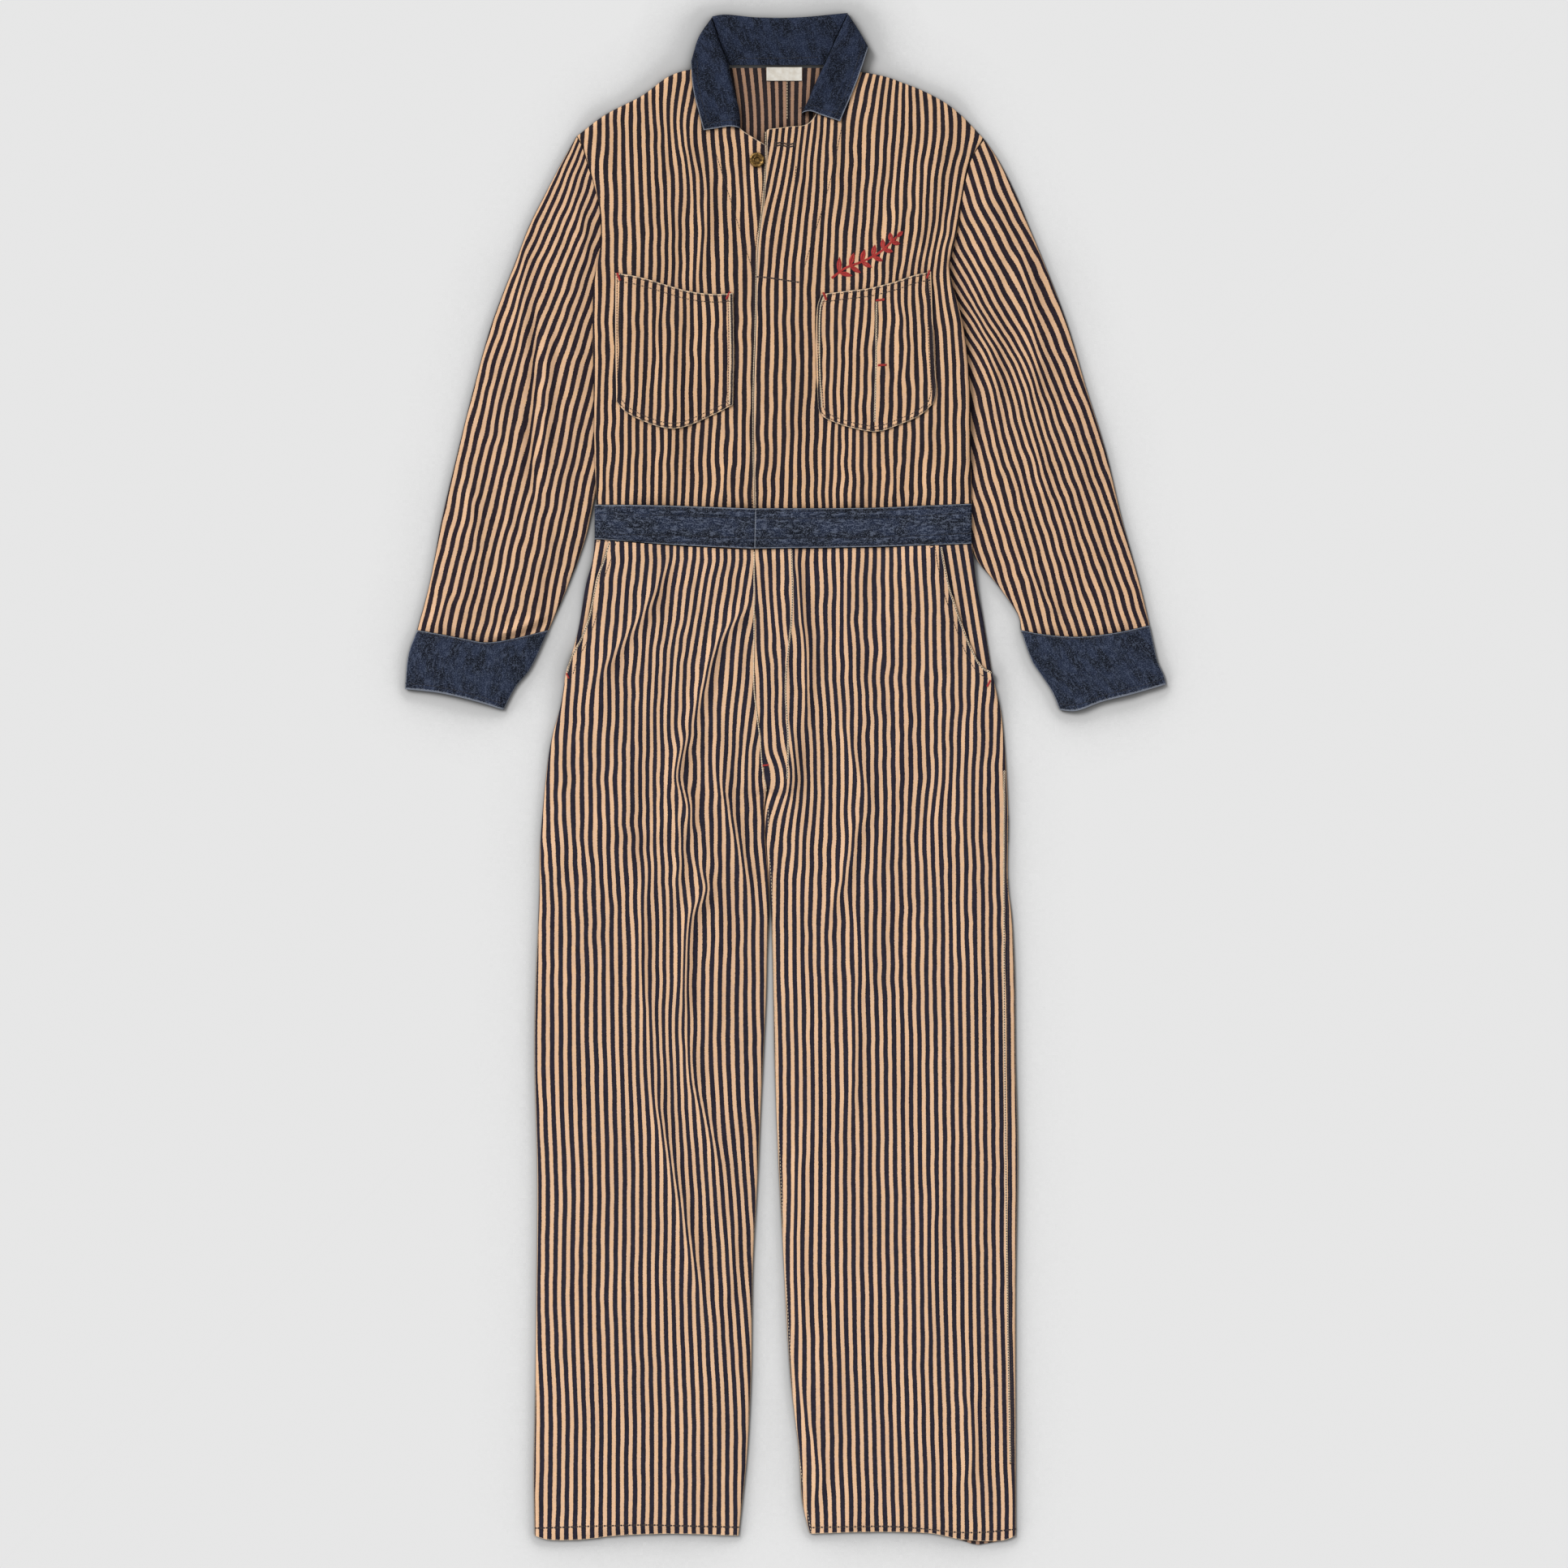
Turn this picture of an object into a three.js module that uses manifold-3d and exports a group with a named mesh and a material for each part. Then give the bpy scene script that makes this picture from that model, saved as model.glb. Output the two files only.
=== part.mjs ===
// A striped work coverall, laid flat on its back with the sleeves beside it.
// Millimetres. X runs to the wearer's left, Y from the hems to the collar, Z up from the surface.
// The origin is the middle of the garment's outline, on the surface that it lies on.
// Every cut piece is a thin wall over a grid, and the grid is blended from the piece's four edges.
import * as THREE from 'three';
import { mergeVertices } from 'three/addons/utils/BufferGeometryUtils.js';
import Module from 'manifold-3d';

const wasm = await Module();
wasm.setup();

// Walls and gaps
const CLOTH = 1.2; // striped twill
const BAND = 1.6; // waistband and cuffs, two plies of denim
const LABEL = 1.0;
const SEAM = 0.3; // between two sewn pieces
const HALF_SEAM = 0.25; // each piece's own share of a seam in plan, with the chords allowed for
const FIT = 0.6; // under a piece that lies on a folded panel

// Heights of the layers
const FRONT_BASE = CLOTH + SEAM; // the front's underside above the flat back
const BAND_BASE = BAND + SEAM;
const LAP = CLOTH + FIT; // rise of a front edge over the edge that it covers
const BAND_LAP = BAND + SEAM;
const SLEEVE_HEIGHT = 2 * CLOTH + SEAM;
const SIDE_LIFT = SLEEVE_HEIGHT + FIT; // rise of the body's side over the sleeve under it
const PUFF = 1.2; // soft rise of the front between its seams
const RISE_LIMIT = 3.6; // folds and puff together
const PUFF_REACH = 60; // the puff is whole this far inside the outline
const FOLD_REACH = 25; // and the folds this far

// Where the body's sides ride up on the sleeves
const LIFT_SLOPE = 64; // width of the slope down from a lifted side
const BACK_SLOPE_START = 30; // the back's slope starts nearer the side than the front's
const FRONT_SLOPE_START = 42;
const LIFT_FOOT = 155; // y where the lift starts, under the waistband
const LIFT_FOOT_SLOPE = 75;
const LIFT_HEAD_RIGHT = 580; // y from which it fades along the armhole
const LIFT_HEAD_LEFT = 565;
const LIFT_HEAD_SLOPE = 80;

// Where a front rises over the edge that it covers
const CLOSURE_EDGE = 2; // x up to which the left front's lap is whole
const CLOSURE_SLOPE = 35;
const CLOSURE_FOOT = -70; // y where that lap starts, below the crotch
const CLOSURE_FOOT_SLOPE = 50;
const MOUTH_LAP = 24; // width of a leg front's lap on the pocket facing
const MOUTH_SLOPE = 40;
const MOUTH_FOOT = 50; // y where that lap starts, below the pocket's mouth
const MOUTH_FOOT_SLOPE = 45;

// Columns and rows of the grids
const ARMHOLE_STEPS = 5;
const CAP_STEPS = 2;
const SIDE_STEPS = 10;
const FRONT_COLUMNS = 10;
const BACK_COLUMNS = 8;
const FLY_STEPS = 8;
const INSEAM_STEPS = 26;
const MOUTH_STEPS = 5;
const LEG_COLUMNS = 12;
const BACK_LEG_COLUMNS = 4;
const SLEEVE_ROWS = 20;
const CUFF_ROWS = 4;
const POCKET_STEPS = 6;
const COLLAR_COLUMNS = 8;
const COLLAR_ROWS = 3;
const LEAF_COLUMNS = 4;
const LEAF_HEM_STEPS = 6;
const ROLL_FRONT_STEPS = 4; // of the leaf's inner edge, in front of the neck's corner
const ROLL_BACK_STEPS = 2;

// Seam and edge lines in plan, [x, y], each from the hem end upward or towards the wearer's left.
// "Right" and "left" are the wearer's, so right is at negative X.
const LINES = {
  waistRight: [[-198, 287], [-117, 286], [-33, 283]],
  waistUnderlap: [[-33, 283], [-11, 283.3]],
  waistLeft: [[-32, 283], [94, 284], [195, 288]],
  waistBackRight: [[-198, 287], [-117, 286], [3, 283.5]],
  waistBackLeft: [[3, 283.5], [94, 284], [195, 288]],
  sideRight: [[-198, 287], [-200, 340], [-201, 408], [-202, 476], [-201, 515], [-193, 562]],
  sideLeft: [[195, 288], [194, 340], [193, 408], [189, 455], [182, 491], [174, 520], [171, 537]],
  armholeRight: [[-193, 562], [-194, 592], [-200, 620], [-207, 642], [-213, 662], [-219, 673]],
  armholeLeft: [[171, 537], [180, 575], [184, 602], [188, 625], [195, 650], [208, 670]],
  shoulderRight: [[-219, 673], [-190, 695], [-150, 716], [-122, 736], [-100, 743], [-59, 746]],
  shoulderLeft: [[40, 746], [103, 736], [123, 729], [141, 722], [166, 709], [184, 695], [208, 670]],
  neckBackRight: [[-59, 746], [-18, 746], [3, 746]],
  neckBackLeft: [[3, 746], [17, 746], [40, 746]],
  underlapEdge: [[-11, 283.3], [-10, 434], [-8, 561], [-8, 657]],
  necklineRight: [[-8, 657], [-21, 663], [-37, 673], [-48, 682], [-55, 710], [-59, 746]],
  placketEdge: [
    [-32, 283], [-33, 340], [-33, 408], [-31, 476], [-30, 526], [-28, 564], [-23, 604], [-20, 649], [-20, 679],
  ],
  necklineLeft: [[-20, 679], [2, 682], [22, 685], [32, 697], [37, 722], [40, 746]],
  centreBack: [[3, 283.5], [3, 746]],

  bandBottomRight: [[-200, 251], [-117, 245], [-34, 241]],
  bandBottomUnderlap: [[-34, 241], [-8, 241]],
  bandBottomLeft: [[-33, 241], [94, 243], [195, 246]],
  bandEndRight: [[-200, 251], [-200, 287]],
  bandEndUnderlap: [[-8, 241], [-11, 283.3]],
  bandEndOver: [[-33, 241], [-32, 283]],
  bandEndLeft: [[195, 246], [195, 288]],

  legTopRight: [[-185, 249.2], [-117, 244.4], [-34, 240.3], [-8, 240.3]],
  legTopLeft: [[-32, 240.7], [94, 242.6], [164, 244.6]],
  legTopBackRight: [[-200, 251], [-117, 245], [3, 241]],
  legTopBackLeft: [[3, 241], [94, 243], [195, 246]],
  hipRight: [[-230, 112], [-218, 153], [-209, 204], [-202, 230], [-200, 251]],
  hipLeft: [[216, 112], [207, 167], [200, 203], [195, 246]],
  mouthRight: [[-230, 112], [-225, 128], [-215, 147], [-207, 168], [-198, 209], [-190, 232], [-185, 249.2]],
  mouthLeft: [[216, 112], [206, 118], [197, 133], [188, 154], [178, 182], [172, 201], [166, 229], [164, 244.6]],
  outseamRight: [
    [-263, -792], [-264, -731], [-263, -672], [-261, -544], [-260, -416], [-263, -289], [-262, -221],
    [-258, -119], [-257, -68], [-252, -8], [-246, 38], [-236, 76], [-230, 112],
  ],
  outseamLeft: [
    [241, -792], [241, -672], [241, -544], [243, -391], [241, -289], [240, -204], [237, -144], [233, -110],
    [233, -34], [230, 26], [226, 68], [216, 112],
  ],
  flyUnder: [[-19, -13], [-14, 26], [-8, 136], [-8, 240.3]],
  flyEdge: [[-19, -13], [-23, 8], [-26, 44], [-29, 67], [-32, 94], [-32, 158], [-32, 240.7]],
  riseBack: [[-19, -13], [-6, 60], [3, 150], [3, 241]],
  inseamRight: [
    [-49, -792], [-45, -756], [-40, -706], [-36, -629], [-34, -510], [-29, -416], [-26, -348], [-23, -289],
    [-20, -226], [-19, -183], [-17, -128], [-20, -89], [-22, -62], [-23, -34], [-19, -13],
  ],
  inseamLeft: [
    [25, -790], [17, -756], [14, -706], [5, -629], [-2, -510], [-7, -416], [-10, -348], [-12, -289],
    [-13, -230], [-14, -183], [-16, -128], [-18, -89], [-20, -62], [-21, -34], [-19, -13],
  ],
  hemRight: [[-263, -792], [-249, -796], [-214, -796], [-177, -792], [-117, -790], [-49, -792]],
  hemLeft: [[25, -790], [95, -788], [155, -790], [184, -796], [227, -797], [241, -792]],
  hemBackLeft: [[25, -790], [95, -788], [155, -790]],
  hemBackLeftDip: [[155, -790], [184, -797], [199, -802]],
  hemBackLeftRise: [[199, -802], [227, -797], [241, -792]],

  capHiddenRight: [[-184, 500], [-190, 531], [-193, 562]],
  capHiddenLeft: [[168, 502], [169, 520], [171, 537]],
  sleeveOuterRight: [
    [-386, 156], [-373, 204], [-360, 272], [-344, 340], [-327, 408], [-308, 476], [-282, 544], [-269, 578],
    [-252, 612], [-234, 646], [-219, 673],
  ],
  sleeveInnerRight: [
    [-248, 156], [-227, 204], [-209, 253], [-201, 289], [-190, 340], [-182, 391], [-180, 442], [-184, 500],
  ],
  sleeveOuterLeft: [
    [381, 161], [371, 204], [352, 272], [336, 340], [315, 408], [295, 476], [269, 544], [255, 578],
    [241, 612], [224, 646], [208, 670],
  ],
  sleeveInnerLeft: [
    [246, 156], [244, 170], [221, 204], [200, 230], [188, 264], [180, 306], [175, 357], [172, 408],
    [170, 459], [168, 502],
  ],
  cuffSeamRight: [[-386, 156], [-363, 152], [-337, 147], [-314, 143], [-285, 147], [-248, 156]],
  cuffOpenRight: [[-398.6, 94], [-363, 90], [-324, 81], [-295, 72]],
  cuffOuterRight: [[-398.6, 94], [-395, 131], [-386, 156]],
  cuffInnerRight: [[-295, 72], [-282, 97], [-268, 114], [-248, 156]],
  cuffSeamLeft: [[246, 156], [266, 152], [305, 149], [344, 153], [381, 161]],
  cuffOpenLeft: [[287, 72], [303, 71], [332, 81], [364, 89], [398.6, 99]],
  cuffOuterLeft: [[398.6, 99], [396, 109], [390, 122], [386, 138], [381, 161]],
  cuffInnerLeft: [[287, 72], [279, 91], [268, 108], [258, 123], [246, 156]],

  pocketTopRight: [[-178, 529], [-151, 524], [-126, 517], [-100, 510], [-75, 507], [-55, 508]],
  pocketSideRight: [[-177, 395], [-178, 459], [-178, 529]],
  pocketInnerRight: [[-55, 391], [-54, 459], [-55, 508]],
  pocketBottomRight: [[-177, 395], [-170, 386], [-156, 377], [-117, 366], [-75, 381], [-55, 391]],
  pocketTopLeft: [[37, 507], [61, 510], [87, 513], [112, 519], [133, 526], [152, 530]],
  pocketInnerLeft: [[34, 388], [32, 433], [33, 494], [37, 507]],
  pocketSideLeft: [[154, 392], [157, 403], [155, 449], [152, 530]],
  pocketBottomLeft: [[34, 388], [39, 379], [92, 363], [121, 371], [142, 381], [154, 392]],

  collarTop: [[-77, 798], [-65, 800], [-30, 797], [13, 797], [65, 801.6]],
  collarSeam: [[-59, 747], [-18, 747], [17, 747], [40, 747]],
  fallHem: [[-99, 751], [-60, 757], [0, 758], [50, 762], [87, 766]],
  rollBackRight: [[-59, 747], [-68, 770], [-77, 798]],
  rollBackLeft: [[40, 747], [51, 772], [65, 801.6]],
  rollFrontRight: [[-47, 680], [-48, 698], [-53, 719], [-59, 747]],
  rollFrontLeft: [[16, 696], [23, 710], [32, 731], [40, 747]],
  wrapRight: [[-99, 751], [-91, 777], [-77, 798]],
  wrapLeft: [[87, 766], [76, 785], [65, 801.6]],
  leafHemRight: [[-86, 678], [-97, 722], [-99, 751]],
  leafHemLeft: [[57, 687], [76, 733], [87, 766]],
  leafFrontRight: [[-86, 678], [-59, 682], [-47, 680]],
  leafFrontLeft: [[16, 696], [25, 698], [37, 694], [57, 687]],
};

// Folds that stand up in the front: a line in plan, half its width, and its height
const BODY_FOLDS = [
  { line: [[-105, 680], [-100, 629], [-83, 561]], width: 18, height: 1.8 },
  { line: [[-196, 518], [-196, 391]], width: 16, height: 1.6 },
  { line: [[121, 544], [171, 537]], width: 16, height: 2.0 },
  { line: [[48, 340], [78, 306]], width: 18, height: 1.8 },
  { line: [[-35, 185], [-69, 144], [-88, 90]], width: 20, height: 2.2 },
  { line: [[-143, 196], [-172, 147], [-202, 99]], width: 18, height: 1.6 },
  { line: [[-99, 51], [-114, 3], [-101, -25], [-99, -58]], width: 18, height: 2.4 },
  { line: [[-97, -83], [-82, -114], [-99, -144], [-105, -198], [-103, -252]], width: 20, height: 2.4 },
  { line: [[-73, 8], [-58, -36], [-46, -79], [-38, -118]], width: 16, height: 1.8 },
  { line: [[-203, -36], [-149, -58], [-118, -47]], width: 18, height: 1.8 },
  { line: [[-258, -70], [-229, -101]], width: 18, height: 1.4 },
  { line: [[-140, -88], [-149, -144], [-151, -198], [-138, -275]], width: 16, height: 1.8 },
  { line: [[-103, -310], [-83, -339], [-69, -382]], width: 18, height: 2.0 },
  { line: [[-140, -343], [-122, -387], [-110, -430], [-99, -495], [-86, -525]], width: 18, height: 2.2 },
  { line: [[-58, -469], [-55, -528], [-60, -549]], width: 16, height: 1.6 },
  { line: [[81, 30], [92, -14], [116, -40]], width: 18, height: 2.2 },
  { line: [[116, -40], [81, -70], [51, -101], [31, -155]], width: 20, height: 2.4 },
  { line: [[64, -111], [78, -170], [94, -231]], width: 18, height: 2.0 },
  { line: [[14, -374], [10, -480], [16, -595]], width: 16, height: 1.8 },
];
const SLEEVE_FOLDS = [
  { line: [[-276, 561], [-278, 442]], width: 18, height: 2.2 },
  { line: [[-262, 434], [-266, 340]], width: 18, height: 2.0 },
  { line: [[-330, 300], [-318, 215]], width: 18, height: 1.6 },
  { line: [[246, 560], [252, 519], [261, 451], [257, 391]], width: 18, height: 2.4 },
  { line: [[257, 349], [274, 289]], width: 18, height: 2.2 },
  { line: [[250, 221], [284, 170]], width: 16, height: 2.0 },
];

// Easing from 0 to 1
function ease(value) {
  const t = Math.min(1, Math.max(0, value));
  return t * t * (3 - 2 * t);
}

// The x of a line at the height y
function xAt(line, y) {
  const rising = line[0][1] < line[line.length - 1][1] ? line : [...line].reverse();
  const last = rising.length - 1;
  if (y <= rising[0][1]) return rising[0][0];
  if (y >= rising[last][1]) return rising[last][0];
  const k = rising.findIndex((point, index) => index > 0 && point[1] >= y);
  const share = (y - rising[k - 1][1]) / (rising[k][1] - rising[k - 1][1]);
  return rising[k - 1][0] + share * (rising[k][0] - rising[k - 1][0]);
}

// Height that a table of folds gives at a place
function foldHeight(folds, x, y) {
  let total = 0;
  for (const { line, width, height } of folds) {
    let lengthBefore = 0;
    let nearest = Infinity;
    let along = 0;
    for (let k = 1; k < line.length; k += 1) {
      const [ax, ay] = line[k - 1];
      const [bx, by] = line[k];
      const length = Math.hypot(bx - ax, by - ay);
      const t = Math.min(1, Math.max(0, ((x - ax) * (bx - ax) + (y - ay) * (by - ay)) / length ** 2));
      const distance = Math.hypot(x - ax - t * (bx - ax), y - ay - t * (by - ay));
      if (distance < nearest) {
        nearest = distance;
        along = lengthBefore + t * length;
      }
      lengthBefore += length;
    }
    const endFade = ease(Math.min(along, lengthBefore - along) / (0.3 * lengthBefore) + 0.35);
    total += height * endFade * Math.exp(-((nearest / width) ** 2));
  }
  return total;
}

// The body's outline in plan, for the puff and the lift
const SIDE_RIGHT = [...LINES.outseamRight, ...LINES.hipRight, ...LINES.sideRight, ...LINES.armholeRight];
const SIDE_LEFT = [...LINES.outseamLeft, ...LINES.hipLeft, ...LINES.sideLeft, ...LINES.armholeLeft];
const CROTCH = -13;

function insideBody(x, y) {
  let distance = Math.min(x - xAt(SIDE_RIGHT, y), xAt(SIDE_LEFT, y) - x);
  if (y < CROTCH && x < xAt(LINES.inseamRight, y) + 1) {
    distance = Math.min(distance, xAt(LINES.inseamRight, y) - x);
  } else if (y < CROTCH) {
    distance = Math.min(distance, x - xAt(LINES.inseamLeft, y));
  }
  return distance;
}

// Rise of the front between its seams, with its folds
function frontRise(x, y) {
  const puff = PUFF * ease(insideBody(x, y) / PUFF_REACH + 0.05);
  const folds = foldHeight(BODY_FOLDS, x, y) * ease(insideBody(x, y) / FOLD_REACH);
  return Math.min(RISE_LIMIT, puff + folds);
}

// The body's sides lie on the sleeves from the armhole to just under the waistband.
// The back's slope and the front's start apart, so that the two never touch.
function sideLift(x, y, slopeStart) {
  const distance = Math.min(x - xAt(SIDE_RIGHT, y), xAt(SIDE_LEFT, y) - x);
  const across = 1 - ease((distance - slopeStart) / LIFT_SLOPE);
  const head = x < 0 ? LIFT_HEAD_RIGHT : LIFT_HEAD_LEFT;
  const along = Math.min(1 - ease((y - head) / LIFT_HEAD_SLOPE), ease((y - LIFT_FOOT) / LIFT_FOOT_SLOPE));
  return SIDE_LIFT * across * along;
}

const backLift = (x, y) => sideLift(x, y, BACK_SLOPE_START);
const frontLift = (x, y) => sideLift(x, y, FRONT_SLOPE_START);

// The wearer's left front laps over the right one, from the neck to the crotch
function closureLap(x, y) {
  const across = 1 - ease((x - CLOSURE_EDGE) / CLOSURE_SLOPE);
  return across * ease((y - CLOSURE_FOOT) / CLOSURE_FOOT_SLOPE);
}

// Each front lies on the facing behind its hip pocket's mouth
function mouthLap(x, y) {
  const distance = x < 0 ? x - xAt(LINES.mouthRight, y) : xAt(LINES.mouthLeft, y) - x;
  const along = ease((y - MOUTH_FOOT) / MOUTH_FOOT_SLOPE);
  return (1 - ease((distance - MOUTH_LAP) / MOUTH_SLOPE)) * along;
}

const frontFloor = (x, y) => FRONT_BASE + frontLift(x, y) + frontRise(x, y);
const frontLeftFloor = (x, y) => frontFloor(x, y) + LAP * closureLap(x, y);
const legRightFloor = (x, y) => frontFloor(x, y) + LAP * mouthLap(x, y);
const legLeftFloor = (x, y) => frontFloor(x, y) + LAP * Math.max(mouthLap(x, y), closureLap(x, y));
const frontTop = (x, y) => frontFloor(x, y) + CLOTH;

// Points along a run of lines, each line with its own number of steps
function stations(...runs) {
  const points = [];
  for (const [line, steps] of runs) {
    const curve = new THREE.CatmullRomCurve3(
      line.map(([x, y]) => new THREE.Vector3(x, y, 0)),
      false,
      'centripetal',
    );
    for (let k = points.length ? 1 : 0; k <= steps; k += 1) {
      points.push(curve.getPointAt(k / steps));
    }
  }
  return points;
}

const backwards = (line) => [...line].reverse();

// A grid of plan points blended from four edges, and its outer points drawn in by a seam's share
function blend({ bottom, top, left, right }, share = HALF_SEAM) {
  const columns = bottom.length - 1;
  const rows = left.length - 1;
  const grid = left.map((_, j) => bottom.map((__, i) => {
    const u = i / columns;
    const v = j / rows;
    const point = new THREE.Vector3();
    point.addScaledVector(bottom[i], 1 - v).addScaledVector(top[i], v);
    point.addScaledVector(left[j], 1 - u).addScaledVector(right[j], u);
    point.addScaledVector(bottom[0], -(1 - u) * (1 - v)).addScaledVector(bottom[columns], -u * (1 - v));
    point.addScaledVector(top[0], -(1 - u) * v).addScaledVector(top[columns], -u * v);
    return point;
  }));
  const drawn = grid.map((row) => row.map((point) => point.clone()));
  for (let j = 0; j <= rows; j += 1) {
    for (let i = 0; i <= columns; i += 1) {
      const sideways = i === 0 ? 1 : i === columns ? -1 : 0;
      const upward = j === 0 ? 1 : j === rows ? -1 : 0;
      if (sideways) {
        drawn[j][i].addScaledVector(grid[j][i + sideways].clone().sub(grid[j][i]).normalize(), share);
      }
      if (upward) {
        drawn[j][i].addScaledVector(grid[j + upward][i].clone().sub(grid[j][i]).normalize(), share);
      }
    }
  }
  return drawn;
}

function solid(positions, index) {
  const geometry = new THREE.BufferGeometry();
  geometry.setAttribute('position', new THREE.Float32BufferAttribute(positions.flatMap((p) => [p.x, p.y, p.z]), 3));
  geometry.setIndex(index);
  return geometry;
}

// A wall over a grid: its underside at floor(x, y), its top a wall's thickness above
function sheet(grid, floor, wall) {
  const columns = grid[0].length;
  const rows = grid.length;
  const under = grid.flat().map((p) => new THREE.Vector3(p.x, p.y, floor(p.x, p.y)));
  const over = under.map((p) => new THREE.Vector3(p.x, p.y, p.z + wall));
  const count = under.length;
  const index = [];
  const quad = (a, b, c, d) => index.push(a, b, c, a, c, d);
  for (let j = 0; j < rows - 1; j += 1) {
    for (let i = 0; i < columns - 1; i += 1) {
      const a = j * columns + i;
      quad(a, a + columns, a + columns + 1, a + 1);
      quad(count + a, count + a + 1, count + a + columns + 1, count + a + columns);
    }
  }
  const rim = [];
  for (let i = 0; i < columns - 1; i += 1) rim.push(i);
  for (let j = 0; j < rows - 1; j += 1) rim.push(j * columns + columns - 1);
  for (let i = columns - 1; i > 0; i -= 1) rim.push((rows - 1) * columns + i);
  for (let j = rows - 1; j > 0; j -= 1) rim.push(j * columns);
  rim.forEach((a, k) => {
    const b = rim[(k + 1) % rim.length];
    quad(a, b, count + b, count + a);
  });
  return solid([...under, ...over], index);
}

// A flattened tube over a grid: folded along its first and last columns, open at both ends
function tube(grid, rise, wall) {
  const height = 2 * wall + SEAM;
  const loop = (row, j, inner) => {
    const shift = inner ? wall : 0;
    const last = row.length - 1;
    const towards = (from, to, by) => row[from].clone().addScaledVector(
      row[to].clone().sub(row[from]).normalize(), by,
    );
    const plan = row.map((point) => point.clone());
    plan[0] = towards(0, 1, shift + 0.6 * wall);
    plan[last] = towards(last, last - 1, shift + 0.6 * wall);
    const foldFirst = towards(0, 1, shift).setZ(height / 2);
    const foldLast = towards(last, last - 1, shift).setZ(height / 2);
    const over = plan.map((p, i) => p.clone().setZ(height - shift + rise(p.x, p.y, i / last, j / (grid.length - 1))));
    const under = plan.map((p) => p.clone().setZ(shift)).reverse();
    return [foldFirst, ...over, foldLast, ...under];
  };
  const outer = grid.map((row, j) => loop(row, j, false));
  const inner = grid.map((row, j) => loop(row, j, true));
  const ring = outer[0].length;
  const positions = [...outer.flat(), ...inner.flat()];
  const count = outer.length * ring;
  const index = [];
  const quad = (a, b, c, d) => index.push(a, b, c, a, c, d);
  for (let k = 0; k < ring; k += 1) {
    const next = (k + 1) % ring;
    for (let j = 0; j < outer.length - 1; j += 1) {
      const a = j * ring + k;
      const b = j * ring + next;
      quad(a, b, b + ring, a + ring);
      quad(count + a, count + a + ring, count + b + ring, count + b);
    }
    const end = (outer.length - 1) * ring;
    quad(k, count + k, count + next, next);
    quad(end + k, end + next, count + end + next, count + end + k);
  }
  return solid(positions, index);
}

// One closed body from walls that overlap
function join(geometries) {
  const bodies = geometries.map((geometry) => {
    const merged = mergeVertices(geometry, 1e-4);
    return new wasm.Manifold(new wasm.Mesh({
      numProp: 3,
      vertProperties: new Float32Array(merged.attributes.position.array),
      triVerts: new Uint32Array(merged.index.array),
    }));
  });
  const mesh = bodies.reduce((sum, body) => sum.add(body)).getMesh();
  const geometry = new THREE.BufferGeometry();
  geometry.setAttribute('position', new THREE.Float32BufferAttribute(mesh.vertProperties, 3));
  geometry.setIndex([...mesh.triVerts]);
  return geometry;
}

// Materials
const twill = new THREE.MeshStandardMaterial({ color: 0x9a8474, roughness: 0.9 });
const denim = new THREE.MeshStandardMaterial({ color: 0x31363f, roughness: 0.92 });
const brass = new THREE.MeshStandardMaterial({ color: 0xa9834a, roughness: 0.4, metalness: 0.9 });
const tape = new THREE.MeshStandardMaterial({ color: 0xe6e3dd, roughness: 0.85 });

const garment = new THREE.Group();

function add(name, geometry, material) {
  const mesh = new THREE.Mesh(geometry, material);
  mesh.name = name;
  garment.add(mesh);
  return mesh;
}

// Backs of the bodice, joined down the middle
function bodiceBacks() {
  const rows = SIDE_STEPS + ARMHOLE_STEPS;
  const middle = stations([LINES.centreBack, rows]);
  const right = blend({
    bottom: stations([LINES.waistBackRight, BACK_COLUMNS]),
    top: stations([LINES.shoulderRight, BACK_COLUMNS - 2], [LINES.neckBackRight, 2]),
    left: stations([LINES.sideRight, SIDE_STEPS], [LINES.armholeRight, ARMHOLE_STEPS]),
    right: middle,
  });
  const left = blend({
    bottom: stations([LINES.waistBackLeft, BACK_COLUMNS]),
    top: stations([LINES.neckBackLeft, 2], [LINES.shoulderLeft, BACK_COLUMNS - 2]),
    left: middle,
    right: stations([LINES.sideLeft, SIDE_STEPS], [LINES.armholeLeft, ARMHOLE_STEPS]),
  });
  add('back_bodice_right', sheet(right, backLift, CLOTH), twill);
  add('back_bodice_left', sheet(left, backLift, CLOTH), twill);
}

// Fronts of the bodice: the left one laps over the right one's edge
function bodiceFronts() {
  const necklineSteps = ARMHOLE_STEPS;
  const right = blend({
    bottom: stations([LINES.waistRight, FRONT_COLUMNS - 1], [LINES.waistUnderlap, 1]),
    top: stations([LINES.shoulderRight, FRONT_COLUMNS]),
    left: stations([LINES.sideRight, SIDE_STEPS], [LINES.armholeRight, ARMHOLE_STEPS]),
    right: stations([LINES.underlapEdge, SIDE_STEPS], [LINES.necklineRight, necklineSteps]),
  });
  const left = blend({
    bottom: stations([LINES.waistLeft, FRONT_COLUMNS]),
    top: stations([LINES.shoulderLeft, FRONT_COLUMNS]),
    left: stations([LINES.placketEdge, SIDE_STEPS], [LINES.necklineLeft, necklineSteps]),
    right: stations([LINES.sideLeft, SIDE_STEPS], [LINES.armholeLeft, ARMHOLE_STEPS]),
  });
  add('front_bodice_right', sheet(right, frontFloor, CLOTH), twill);
  add('front_bodice_left', sheet(left, frontLeftFloor, CLOTH), twill);
}

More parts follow.
